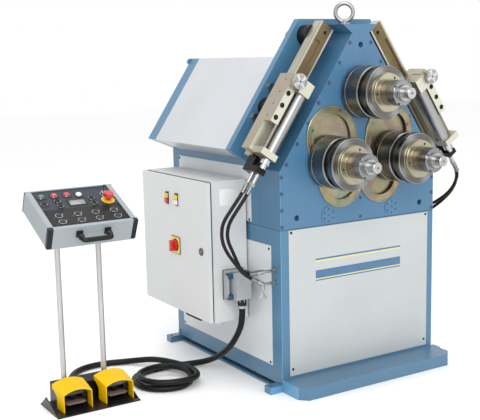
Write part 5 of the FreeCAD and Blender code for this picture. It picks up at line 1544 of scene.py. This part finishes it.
@dataclass
class Rolls(SubAssembly):
    """The three roll sets: hub screws, nut threads, shaft centres and hub steps."""

    first_hole: ClassVar[Dict[str, float]] = {"upper": 65.0, "left": 72.0, "right": 72.0}
    hole_count: int = 3
    pitch_radius: float = 52.0
    hole_floor: float = -143.0
    hole_radii: Pair = (3.95, 3.3)
    hole_depth: float = 6.4
    hub_face: float = -149.3
    sink_radii: Pair = (5.2, 3.3)
    hub_screw: ScrewSize = ScrewSize(3.9, 0.8, 2.4)
    boss_ring: Pair = (46.5, 42.4)
    flange_face: float = -137.4
    flange_ring: Pair = (66.0, 63.6)
    thread_from: float = -219.2
    thread_radius: float = 24.8
    thread_length: float = 8.0
    thread_pitch: float = 2.0
    shaft_end: float = -260.0
    centre_profile: Pairs = ((4.6, 0.0), (4.6, 0.5), (3.9, 0.8), (3.2, 0.5), (3.2, 0.3), (0.0, 0.3))

    def dress(self) -> None:
        """Give rings, hubs and shafts their finishes."""
        for side in ROLLS:
            self.shop.node(f"roll_{side}_shaft", f"{side}_shaft_steel")
            self.shop.node(f"roll_{side}_rings", f"{side}_ring_steel")
            self.shop.node(f"roll_{side}_hub", f"{side}_hub_zinc")

    def build(self) -> None:
        """Make the small parts of each roll."""
        for side, (x, z) in ROLLS.items():
            body = f"{side}_roll"
            holes = []
            for i in range(self.hole_count):
                a = math.radians(self.first_hole[side] + 360.0 / self.hole_count * i)
                holes.append((x + self.pitch_radius * math.cos(a), self.hole_floor,
                              z + self.pitch_radius * math.sin(a)))
            # the hub screws are near-black all over, painted shade in their holes
            self.shop.screw_set(f"{side}_hub_screws", spots(holes, FRONT), self.hub_screw,
                                "socket_dark", "zinc_yellow", body=body)
            self.shop.thread(f"{side}_nut_thread", spots([(x, self.thread_from, z)], FRONT),
                             self.thread_radius, self.thread_length, self.thread_pitch,
                             "bright_steel", "shaft_steel", body=body)
            blank = Blank()
            blank.lathe(self.centre_profile, (x, self.shaft_end, z), FRONT, steps=24)
            # a near-black disc in the centre hole, painted shade
            blank.disc((x, self.shaft_end - 0.2, z), FRONT, 2.6, 0.3, slot=1, chamfer=0.1, steps=16)
            self.shop.solid(f"{side}_shaft_centre", blank, ("bright_steel", "socket_dark"),
                            "shaft_steel", body=body)
            blank = Blank()
            # near-black sleeves inside the holes and rings round their mouths, painted shade
            for hole in holes:
                blank.ring(hole, FRONT, self.hole_radii, self.hole_depth, slot=1, steps=24)
                blank.ring((hole[0], self.hub_face, hole[2]), FRONT, self.sink_radii, 0.5, slot=1,
                           steps=24)
            blank.ring((x, self.hub_face - 0.1, z), FRONT, self.boss_ring, 1.4, steps=48)
            blank.ring((x, self.flange_face, z), FRONT, self.flange_ring, 1.2, steps=48)
            self.shop.solid(f"{side}_hub_step", blank, (f"{side}_hub_zinc", "socket_dark"),
                            "zinc_yellow", body=body)


@dataclass
class Guides(SubAssembly):
    """The sloping guides: pegs, set screws and adjusting spindles, on the slope's own axes."""

    nodes: ClassVar[Dict[str, str]] = {
        "guide_rails": "rail_steel", "standoff_sleeves": "black_enamel",
        "standoff_rods": "bright_steel", "guide_left": "guide_left_zinc",
        "guide_right": "guide_right_zinc", "guide_cylinder_left": "barrel_steel",
        "guide_cylinder_right": "barrel_steel", "piston_rods": "chrome",
        "cylinder_feet": "black_block"}
    peg_end: float = -48.0
    peg_profile: Pairs = (
        (25.4, -0.3), (25.4, 0.5), (24.6, 1.0), (17.0, 1.0), (16.4, 0.4), (15.6, 0.4), (15.0, 1.0),
        (7.4, 1.0), (6.8, 0.3), (0.0, 0.3))
    collar_at: float = -22.5
    collar_profile: Pairs = ((22.4, 0.0), (22.4, 12.0), (21.0, 13.0), (21.0, 0.0))
    hole_pitch: float = 45.4
    hole_count: int = 3
    hole_face: float = -8.5
    hole_radius: float = 8.8
    hole_sleeve: Pair = (8.95, 8.3)
    hole_wall: float = 6.6
    face_out: float = 843.0
    set_screw_y: float = 21.0
    set_screw: ScrewSize = ScrewSize(2.8, 0.5, 1.5)
    spindle: Point = (809.5, -6.0, -556.0)
    spindle_radius: float = 6.5
    spindle_length: float = 88.0
    spindle_pitch: float = 4.0

    def build(self) -> None:
        """Make the small parts of both guides."""
        out, down = PEG
        for side, sign in SIDES.items():
            seat = slope_seat(sign)
            turn = seat.to_3x3()
            body = f"{side}_guide"
            start = seat @ Vector(self.spindle)
            self.shop.thread(f"{side}_spindle_thread", [(start / THOUSAND, turn @ Vector(UP))],
                             self.spindle_radius, self.spindle_length, self.spindle_pitch,
                             "thread_brown", "zinc_white", body=body)
            blank = Blank(seat)
            blank.lathe(self.peg_profile, (out, self.peg_end, down), FRONT, steps=48)
            # a near-black disc in the peg's centre, painted shade
            blank.disc((out, self.peg_end - 0.2, down), FRONT, 3.2, 0.5, slot=2, chamfer=0.1,
                       steps=16)
            blank.lathe(self.collar_profile, (out, self.collar_at, down), FRONT, slot=1, steps=48)
            self.shop.solid(f"{side}_peg_face", blank,
                            (f"{side}_peg_steel", "rim_zinc", "socket_dark"), "zinc_white",
                            body=body)
            # painted shade: near-black floors and sleeves in the three holes
            blank = Blank(seat)
            for i in range(1, self.hole_count + 1):
                centre = (out, self.hole_face, down + self.hole_pitch * i)
                blank.disc(centre, FRONT, self.hole_radius, 3.0, chamfer=0.1, steps=28)
                blank.ring(centre, FRONT, self.hole_sleeve, self.hole_wall, steps=36)
            self.shop.solid(f"{side}_hole_depths", blank, ("socket_dark",), "zinc_white", body=body)
            marks = [seat @ Vector((self.face_out, self.set_screw_y, down + self.hole_pitch * i))
                     for i in range(self.hole_count + 1)]
            way = turn @ Vector(RIGHT)
            self.shop.screw_set(f"{side}_set_screws", [(mark / THOUSAND, way) for mark in marks],
                                self.set_screw, "bright_steel", "zinc_white", body=body)


@dataclass
class Hydraulics(SubAssembly):
    """Crimped hose ends and the union nuts that hold them."""

    nodes: ClassVar[Dict[str, str]] = {
        "hose_fittings": "white_zinc", "wall_pipes": "dull_brass", "valve_handle": "dull_brass"}
    crimp: float = 7.6
    length: float = 30.0
    groove_count: int = 4
    groove_from: float = 5.0
    groove_pitch: float = 5.6
    groove_depth: float = 0.9
    nut_profile: Pairs = ((8.4, -9.0), (9.6, -8.2), (9.6, 0.4), (8.4, 1.2))

    def ferrule(self, blank: Blank, end: Point, towards: Point) -> None:
        """Add a crimped sleeve with its union nut.

        Args:
            blank: the piece to add it to.
            end: the hose's end.
            towards: the next point of its route.
        """
        way = (Vector(towards) - Vector(end)).normalized()
        low = self.crimp - self.groove_depth
        profile: List[Pair] = [(7.0, -1.0), (self.crimp, 0.0)]
        for i in range(self.groove_count):
            h = self.groove_from + self.groove_pitch * i
            profile += [(self.crimp, h), (low, h + 0.8), (low, h + 1.8), (self.crimp, h + 2.6)]
        profile += [(self.crimp, self.length - 1.0), (self.crimp - 0.8, self.length)]
        blank.lathe(profile, end, tuple(way), steps=28)
        blank.lathe(self.nut_profile, end, tuple(way), slot=1, steps=6)

    def build(self) -> None:
        """Make both ends of each hose."""
        for name, points in Cords(self.shop).hoses().items():
            blank = Blank()
            self.ferrule(blank, points[0], points[1])
            self.ferrule(blank, points[-1], points[-2])
            self.shop.solid(f"{name}_hose_ends", blank, ("crimp_steel", "white_zinc"), "zinc_white")


@dataclass
class Base(SubAssembly):
    """The lower frame with its covers, trim band and fixings."""

    nodes: ClassVar[Dict[str, str]] = {
        "plinth": "blue_enamel", "foot_bars": "blue_enamel", "base_cabinet": "blue_enamel",
        "front_panel": "grey_enamel", "side_panels": "side_enamel"}
    front_screws: Pairs = ((304.0, 551.0), (302.0, 74.0), (-300.0, 551.0), (-298.0, 74.0))
    lower_screws: Pairs = ((68.0, 491.0), (68.0, 90.0), (686.0, 90.0), (686.0, 491.0))
    upper_screws: Pairs = ((188.0, 576.0), (690.0, 753.0), (188.0, 753.0), (690.0, 576.0))
    cover_screw: ScrewSize = ScrewSize(3.6, 1.8, 1.9)
    band_x: Pair = (-199.0, 182.0)
    band_blue: Pairs = ((371.0, 375.0), (379.6, 408.0), (443.6, 449.0))
    band_yellow: Pairs = ((375.4, 379.2), (437.6, 442.8))
    plug_at: Point = (-342.0, 736.0, 41.0)
    plug_profile: Pairs = ((7.0, 0.0), (7.0, 4.0), (5.0, 4.4), (5.0, 3.0), (0.0, 3.0))
    rear_half: float = 262.0
    rear_z: Pair = (82.0, 520.0)
    rear_thick: float = 2.4
    louvre_count: int = 7
    louvre_from: float = 372.0
    louvre_pitch: float = 16.0
    louvre_length: float = 250.0
    louvre_radius: float = 3.4
    rear_screw_x: Pair = (-250.0, 250.0)
    rear_screw_z: Point = (94.0, 301.0, 508.0)
    rear_screw: ScrewSize = ScrewSize(4.4, 2.0, 2.2)

    def rear(self) -> None:
        """Make the back cover with its louvres and screws."""
        wall = box_mm("base_cabinet")[1][1]
        blank = Blank()
        low, high = self.rear_z
        blank.block((-self.rear_half, wall - 0.4, low),
                    (self.rear_half, wall + self.rear_thick, high), bevel=0.9)
        self.shop.solid("rear_cover", blank, ("grey_enamel",), "grey_paint")
        rows = [(0.0, wall + self.rear_thick - 0.2, self.louvre_from + self.louvre_pitch * i)
                for i in range(self.louvre_count)]
        self.shop.ridge_set("rear_louvres", spots(rows, BACK), self.louvre_length,
                            self.louvre_radius, "grey_enamel", "grey_paint")
        corners = [(x, wall + self.rear_thick, z) for x in self.rear_screw_x
                   for z in self.rear_screw_z]
        self.shop.screw_set("rear_cover_screws", spots(corners, BACK), self.rear_screw,
                            "bright_steel", "grey_paint")

    def build(self) -> None:
        """Make the covers' screws, the trim band, the drain plug and the back cover."""
        face = box_mm("front_panel")[0][1]
        places = spots([(x, face, z) for x, z in self.front_screws], FRONT)
        self.shop.screw_set("front_cover_screws", places, self.cover_screw, "black_oxide",
                            "grey_paint")
        low, high = box_mm("side_panels")
        side_screws = self.lower_screws + self.upper_screws
        places = []
        for way, x in ((LEFT, low[0]), (RIGHT, high[0])):
            places += spots([(x, y, z) for y, z in side_screws], way)
        self.shop.screw_set("side_cover_screws", places, self.cover_screw, "black_oxide",
                            "grey_paint")
        blank = Blank()
        x0, x1 = self.band_x
        for slot, stripes in enumerate((self.band_blue, self.band_yellow)):
            for z0, z1 in stripes:
                blank.block((x0, face - 0.5, z0), (x1, face + 0.3, z1), bevel=0.2, slot=slot)
        self.shop.solid("front_trim_band", blank, ("stripe_blue", "stripe_yellow"), "blue_paint")
        blank = Blank()
        blank.lathe(self.plug_profile, self.plug_at, LEFT, steps=24)
        self.shop.solid("drain_plug", blank, ("bright_steel",), "zinc_white")
        self.rear()


@dataclass
class Hood(SubAssembly):
    """The upper cover, the flange behind the head and the rear frame."""

    nodes: ClassVar[Dict[str, str]] = {
        "guide_flange": "blue_enamel", "flange_bolts": "white_zinc", "hood": "hood_enamel",
        "rear_frame": "blue_enamel", "eye_bolt": "bright_steel"}


def border(low: Pair, high: Pair, width: float) -> List[Tuple[Pair, Pair]]:
    """Split a rectangular frame into bars.

    Args:
        low: y and z of its low corner.
        high: y and z of its high corner.
        width: how wide each bar is.

    Returns:
        Low and high corner of the bottom, the top, the near and the far bar.
    """
    (y0, z0), (y1, z1) = low, high
    return [((y0, z0), (y1, z0 + width)), ((y0, z1 - width), (y1, z1)),
            ((y0, z0 + width), (y0 + width, z1 - width)),
            ((y1 - width, z0 + width), (y1, z1 - width))]


@dataclass
class SwitchCabinet(SubAssembly):
    """The switch cabinet's controls, lock, seal and plate."""

    nodes: ClassVar[Dict[str, str]] = {
        "cabinet_shell": "cabinet_coat", "cabinet_door": "cabinet_coat", "main_switch": "red_cap"}
    caps: ClassVar[Tuple[Tuple[str, str], ...]] = (("yellow_plate", "red_cap"),
                                                   ("yellow_plate", "white_cap"))
    door_x: float = -508.0
    stations: Pairs = ((484.0, 635.0), (412.0, 636.0))
    station_half: Pair = (13.5, 22.0)
    station_rise: float = 4.2
    cap_half: Pair = (10.5, 8.2)
    cap_x: float = -519.0
    cap_rise: float = 9.0
    switch: Pair = (430.0, 467.0)
    switch_pads: ClassVar[Tuple[Tuple[Pair, Pair, float, int], ...]] = (
        ((32.0, 32.0), (-2.4, 0.2), 0.8, 1), ((29.0, 29.0), (-3.6, -2.0), 0.5, 0))
    switch_shadow_ring: Pair = (23.5, 20.6)
    lock: Pair = (245.0, 472.0)
    lock_ring: Pair = (13.5, 10.5)
    lock_slit: Pair = (0.9, 3.8)
    seal_x: float = -492.0
    seal_z: Pair = (224.0, 716.0)
    seal_width: float = 9.0
    strip_width: float = 3.0
    side_y: float = 201.0
    plate_low: Pair = (-456.0, 632.0)
    plate_high: Pair = (-382.0, 690.0)

    def pad(self, blank: Blank, centre: Pair, half: Pair, depths: Pair, bevel: float,
            slot: int = 0) -> None:
        """Add a flat block on the door.

        Args:
            blank: the piece to add it to.
            centre: y and z of its middle.
            half: half its width and half its height.
            depths: x of its face and of its back.
            bevel: width of its rounding.
            slot: the material slot.
        """
        (y, z), (wide, tall) = centre, half
        blank.block((depths[0], y - wide, z - tall), (depths[1], y + wide, z + tall), bevel, slot)

    def controls(self) -> None:
        """Make the push buttons, the switch's plate and the lock's bezel."""
        door = self.door_x
        for number, ((y, z), finishes) in enumerate(zip(self.stations, self.caps), 1):
            blank = Blank()
            self.pad(blank, (y, z), self.station_half, (door - self.station_rise, door + 0.2),
                     bevel=1.2)
            for slot, rise in enumerate((self.cap_rise, -self.cap_rise), 1):
                self.pad(blank, (y, z + rise), self.cap_half, (self.cap_x, door - 3.8), bevel=1.6,
                         slot=slot)
            self.shop.solid(f"push_button_{number}", blank, ("panel_black",) + finishes,
                            "dark_plastic", body="cabinet_door_body")
        blank = Blank()
        for half, (near, far), bevel, slot in self.switch_pads:
            self.pad(blank, self.switch, half, (door + near, door + far), bevel, slot)
        # a black ring round the knob, painted shadow
        blank.ring((door - 3.3, *self.switch), LEFT, self.switch_shadow_ring, 1.4, slot=1, steps=40)
        self.shop.solid("switch_plate", blank, ("yellow_plate", "panel_black"), "dark_plastic",
                        body="cabinet_door_body")
        blank = Blank()
        blank.ring((door + 0.2, *self.lock), LEFT, self.lock_ring, 3.0, steps=32)
        blank.disc((door - 3.8, *self.lock), LEFT, 10.6, 0.8, chamfer=0.3, steps=28)
        blank.disc((door - 4.4, *self.lock), LEFT, 5.4, 0.8, slot=1, chamfer=0.3, steps=24)
        # the keyway slit is a near-black block, painted shade
        self.pad(blank, self.lock, self.lock_slit, (door - 5.8, door - 5.0), bevel=0.2, slot=2)
        self.shop.solid("cabinet_lock_bezel", blank, ("panel_black", "bright_steel", "socket_dark"),
                        "dark_plastic", body="cabinet_door_body")

    def build(self) -> None:
        """Make the controls, the door's seal and edge strip, and the plate on the side."""
        self.controls()
        low, high = box_mm("cabinet_shell")
        x = self.seal_x
        blank = Blank()
        for a, b in border((low[1] + 3, self.seal_z[0]), (high[1] - 3, self.seal_z[1]),
                           self.seal_width):
            blank.block((x + 0.5, *a), (x + 3.9, *b), bevel=0.5)
        self.shop.solid("door_seal", blank, ("hose_rubber",), "rubber_black")
        low, high = box_mm("cabinet_door")
        blank = Blank()
        for a, b in border((low[1] - 0.3, low[2] - 0.3), (high[1] - 1.0, high[2] + 0.3),
                           self.strip_width)[:3]:
            blank.block((x - 3.0, *a), (x + 0.2, *b), bevel=0.4)
        self.shop.solid("door_edge_strip", blank, ("hose_rubber",), "rubber_black",
                        body="cabinet_door_body")
        blank = Blank()
        (x0, z0), (x1, z1) = self.plate_low, self.plate_high
        blank.block((x0, self.side_y - 0.8, z0), (x1, self.side_y + 0.3, z1), bevel=0.3)
        self.shop.solid("cabinet_side_plate", blank, ("white_cap",), "cabinet_grey")


@dataclass
class Connector(SubAssembly):
    """The multi-way connector's levers, seams and gland."""

    nodes: ClassVar[Dict[str, str]] = {
        "connector_base": "plug_alloy", "connector_hood": "plug_alloy"}
    corner_x: Pairs = ((-454.0, -432.0), (-387.0, -366.0))
    corner_z: Pairs = ((309.0, 327.0), (383.0, 401.0))
    corner_y: Pair = (152.0, 178.0)
    side_x: Pairs = ((-456.0, -450.0), (-370.0, -364.5))
    side_z: Pair = (320.0, 390.0)
    side_y: Pair = (162.0, 182.0)
    seals: Tuple[Tuple[Point, Point], ...] = (
        ((-439.0, 170.6, 309.0), (-379.0, 173.4, 401.0)),
        ((-451.6, 197.4, 301.4), (-368.6, 200.6, 407.4)))
    gland: Pair = (-405.0, 150.0)
    nut_at: float = 296.0
    nut_profile: Pairs = ((16.4, -2.0), (17.2, -1.0), (17.2, 12.0), (15.6, 14.0))
    sleeve_at: float = 290.0
    sleeve_profile: Pairs = ((12.2, -14.0), (14.4, -10.0), (15.8, 0.0), (15.8, 8.0))

    def build(self) -> None:
        """Make the levers at the corners, the seals between the halves and a dark gland nut."""
        blank = Blank()
        near, far = self.corner_y
        for x0, x1 in self.corner_x:
            for z0, z1 in self.corner_z:
                blank.block((x0, near, z0), (x1, far, z1), bevel=2.4)
        near, far = self.side_y
        for x0, x1 in self.side_x:
            blank.block((x0, near, self.side_z[0]), (x1, far, self.side_z[1]), bevel=1.6, slot=1)
        self.shop.solid("connector_levers", blank, ("lever_blue", "plug_alloy"), "plug_grey")
        blank = Blank()
        for low, high in self.seals:
            blank.block(low, high, bevel=0.8)
        blank.lathe(self.nut_profile, (*self.gland, self.nut_at), UP, steps=6)
        blank.lathe(self.sleeve_profile, (*self.gland, self.sleeve_at), UP, steps=28)
        self.shop.solid("connector_gland", blank, ("cap_black",), "plug_grey")


class Face(IntEnum):
    """Material slots of the console's face."""

    UPPER = 0
    LOWER = 1
    CAP = 2
    STEEL = 3
    RED = 4
    GREEN = 5
    WHITE = 6
    KEY = 7
    GLASS = 8
    YELLOW = 9


@dataclass
class Console(SubAssembly):
    """The console desk: its face plate, controls, end strips and bow handle.

    Places on the face are x and the distance up the slope; heights are above the recessed plate.
    """

    nodes: ClassVar[Dict[str, str]] = {
        "desk_box": "desk_coat", "desk_caps": "desk_coat", "stop_button": "red_cap",
        "console_posts": "post_steel"}
    face_finishes: ClassVar[Dict[Face, str]] = {
        Face.UPPER: "panel_grey", Face.LOWER: "panel_black", Face.CAP: "cap_black",
        Face.STEEL: "bright_steel", Face.RED: "red_cap", Face.GREEN: "green_cap",
        Face.WHITE: "white_cap", Face.KEY: "bright_steel", Face.GLASS: "display_glass",
        Face.YELLOW: "yellow_plate"}
    half: float = 133.0
    face_from: float = 14.0
    face_to: float = 225.0
    recess: float = -3.0
    split: float = 112.0
    lamps: Pairs = ((-110.0, 189.0), (-66.0, 190.0), (-23.0, 188.0), (17.0, 182.0))
    lamp_caps: Tuple[Face, ...] = (Face.GREEN, Face.RED, Face.RED, Face.WHITE)
    lamp_half: Pair = (15.0, 14.0)
    selectors: Pairs = ((-66.0, 158.0), (-66.0, 128.0), (50.0, 127.0), (-115.0, 146.0),
                        (51.0, 156.0))
    selector_half: Pair = (13.0, 12.5)
    selector_ring: Pair = (11.0, 9.2)
    grip_half: Pair = (1.6, 7.0)
    button_x: Tuple[float, ...] = (-92.0, -28.0, 33.0, 97.0)
    button_d: Tuple[float, ...] = (73.0, 38.0)
    button_ring: Pair = (12.4, 10.2)
    dots: ClassVar[Tuple[Tuple[Point, Face], ...]] = (((-18.0, -7.0, 1.6), Face.RED),
                                                      ((16.0, 9.0, 1.4), Face.WHITE))
    display: Pair = (-4.0, 140.0)
    display_pads: ClassVar[Tuple[Tuple[Pair, Pair, float, Face], ...]] = (
        ((33.0, 19.0), (0.0, 2.0), 0.8, Face.CAP), ((26.0, 13.0), (1.6, 3.2), 0.8, Face.STEEL),
        ((23.0, 10.5), (2.8, 3.6), 0.3, Face.GLASS))
    key: Pair = (102.0, 175.0)
    key_bow: Pairs = ((0.0, -4.0), (2.8, -2.8), (4.0, 0.0), (2.8, 2.8), (0.0, 4.0))
    stop: Pair = (104.0, 138.0)
    strip_x: Pair = (135.2, 153.6)
    strips: ClassVar[Tuple[Tuple[Pair, Pair, float], ...]] = (
        ((-0.8, 15.0), (-73.0, 0.7), 2.4), ((223.0, 229.8), (-73.0, -1.0), 1.6))
    handle_x: Pair = (-49.0, 47.0)
    handle_reach: float = -40.0
    handle_height: float = -26.0
    handle_bend: float = 12.0
    handle_radius: float = 8.4
    handle_ends: ClassVar[Tuple[Tuple[float, Pair, float, float], ...]] = (
        (11.0, (-7.0, 1.0), 12.0, 3.0), (8.6, (-28.0, -5.0), 9.0, 4.0))

    def pad(self, blank: Blank, centre: Pair, half: Pair, heights: Pair, bevel: float,
            slot: Face) -> None:
        """Add a flat block on the face.

        Args:
            blank: the piece to add it to.
            centre: its middle on the face.
            half: half its width and half its length.
            heights: its bottom and top above the plate.
            bevel: width of its rounding.
            slot: the material slot.
        """
        (x, d), (wide, tall) = centre, half
        low, high = (self.recess + height for height in heights)
        blank.block((x - wide, d - tall, low), (x + wide, d + tall, high), bevel, slot)

    def plate(self, blank: Blank) -> None:
        """Add the face plate in two tones.

        Args:
            blank: the piece to add it to.
        """
        top = self.recess
        blank.block((-self.half, self.face_from, top - 3.0), (self.half, self.split, top + 0.6),
                    bevel=0.3, slot=Face.LOWER)
        blank.block((-self.half, self.split, top - 3.0), (self.half, self.face_to, top + 0.6),
                    bevel=0.3, slot=Face.UPPER)

    def switches(self, blank: Blank) -> None:
        """Add the lamps, the selectors and the push buttons with their dots.

        Args:
            blank: the piece to add them to.
        """
        top = self.recess
        for (x, d), cap in zip(self.lamps, self.lamp_caps):
            self.pad(blank, (x, d), self.lamp_half, (0.0, 1.6), bevel=0.6, slot=Face.CAP)
            blank.disc((x, d, top + 1.4), UP, 11.6, 2.6, slot=Face.STEEL, chamfer=0.8, steps=32)
            blank.disc((x, d, top + 3.6), UP, 10.2, 5.0, slot=cap, chamfer=2.4, steps=32)
        for x, d in self.selectors:
            self.pad(blank, (x, d), self.selector_half, (0.0, 1.6), bevel=0.6, slot=Face.CAP)
            blank.ring((x, d, top + 1.4), UP, self.selector_ring, 2.2, slot=Face.STEEL, steps=32)
            blank.disc((x, d, top + 1.4), UP, 9.0, 4.6, slot=Face.CAP, chamfer=1.0, steps=28)
            self.pad(blank, (x, d), self.grip_half, (5.0, 8.4), bevel=0.7, slot=Face.CAP)
        for x in self.button_x:
            for d in self.button_d:
                blank.ring((x, d, top + 0.4), UP, self.button_ring, 2.6, slot=Face.STEEL, steps=36)
                blank.disc((x, d, top + 0.4), UP, 10.0, 4.6, slot=Face.CAP, chamfer=1.6, steps=32)
                for (dx, dd, radius), slot in self.dots:
                    blank.disc((x + dx, d + dd, top + 0.4), UP, radius, 0.7, slot=slot,
                               chamfer=0.1, steps=10)

    def face(self) -> None:
        """Make the face plate with all that stands on it."""
        top = self.recess
        blank = Blank(desk_seat())
        self.plate(blank)
        self.switches(blank)
        for half, heights, bevel, slot in self.display_pads:
            self.pad(blank, self.display, half, heights, bevel, slot)
        x, d = self.key
        blank.disc((x, d, top), UP, 12.0, 2.6, slot=Face.STEEL, chamfer=0.8, steps=32)
        blank.disc((x, d, top + 2.2), UP, 8.6, 8.0, slot=Face.KEY, chamfer=1.0, steps=28)
        blank.tube([(x, d, top + 9.0), (x, d + 1.0, top + 20.0), (x, d + 2.0, top + 31.0)], 2.0,
                   slot=Face.KEY, steps=12)
        blank.lathe(self.key_bow, (x, d + 2.0, top + 32.0), UP, slot=Face.CAP, steps=16)
        blank.disc((*self.stop, top), UP, 23.0, 2.4, slot=Face.YELLOW, chamfer=0.8, steps=40)
        self.shop.solid("desk_face", blank, tuple(self.face_finishes.values()), "dark_plastic",
                        replaces=("desk_panel",))

    def trim(self) -> None:
        """Make the dark strips along the ends' lower and upper edges."""
        blank = Blank(desk_seat())
        for sign in SIDES.values():
            x0, x1 = sorted(sign * x for x in self.strip_x)
            for (near, far), (low, high), bevel in self.strips:
                blank.block((x0, near, low), (x1, far, high), bevel)
        self.shop.solid("desk_end_strips", blank, ("cap_black",), "dark_plastic")

    def handle(self) -> None:
        """Make the bow handle at the desk's front edge, with thicker ends."""
        (left, right), level = self.handle_x, self.handle_height
        blank = Blank(desk_seat())
        reach = self.handle_reach
        corners = [(left, 3.0, level), (left, reach, level), (right, reach, level),
                   (right, 3.0, level)]
        blank.tube(bow(corners, self.handle_bend), self.handle_radius, steps=18)
        for x in self.handle_x:
            for half, (near, far), tall, bevel in self.handle_ends:
                blank.block((x - half, near, level - tall), (x + half, far, level + tall), bevel)
        self.shop.solid("desk_bow_handle", blank, ("cap_black",), "dark_plastic",
                        replaces=("desk_handle",))

    def build(self) -> None:
        """Make every piece of the desk."""
        self.face()
        self.trim()
        self.handle()


@dataclass
class FootSwitches(SubAssembly):
    """The tray with its guarded pedals.

    Each of the parts on a pedal has half its width, where it lies along Y and Z, its bevel and its
    material slot.
    """

    nodes: ClassVar[Dict[str, str]] = {
        "console_tray": "black_enamel", "pedal_guards": "guard_yellow",
        "pedal_left": "pedal_plate", "pedal_right": "pedal_plate"}
    centres: Pair = (-988.0, -839.0)
    parts: ClassVar[Tuple[Tuple[float, Pair, Pair, float, int], ...]] = (
        (36.0, (257.0, 300.0), (23.6, 26.4), 1.2, 0), (7.0, (286.0, 291.0), (25.8, 44.0), 1.2, 1),
        (12.0, (280.0, 292.0), (40.0, 45.0), 1.4, 1))
    rib_count: int = 4
    rib_from: float = 262.0
    rib_pitch: float = 5.6
    rib_height: float = 26.0
    rib_length: float = 60.0
    rib_radius: float = 1.0

    def build(self) -> None:
        """Make the pedals' treads, latches and tread ribs."""
        for side, x in zip(SIDES, self.centres):
            blank = Blank()
            for half, (near, far), (low, high), bevel, slot in self.parts:
                blank.block((x - half, near, low), (x + half, far, high), bevel, slot)
            self.shop.solid(f"{side}_tread", blank, ("pedal_plate", "black_block"), "shaft_steel",
                            body=f"{side}_pedal")
            rows = [(x, self.rib_from + self.rib_pitch * i, self.rib_height)
                    for i in range(self.rib_count)]
            self.shop.ridge_set(f"{side}_tread_ribs", spots(rows, UP), self.rib_length,
                                self.rib_radius, "pedal_plate", "shaft_steel", body=f"{side}_pedal")


def main() -> None:
    """Build the scene in order."""
    logging.basicConfig(level=logging.INFO, format="%(name)s %(message)s")
    studio = Studio()
    studio.camera()
    shop = Workshop(Finishes())
    Cords(shop).build()
    studio.build()
    for kind in (Base, HeadBlock, Hood, Rolls, Guides, Hydraulics, SwitchCabinet, Connector,
                 Console, FootSwitches):
        group = kind(shop)
        group.dress()
        group.build()
        LOG.info("%s made", kind.__name__)


if __name__ == "__main__":
    main()
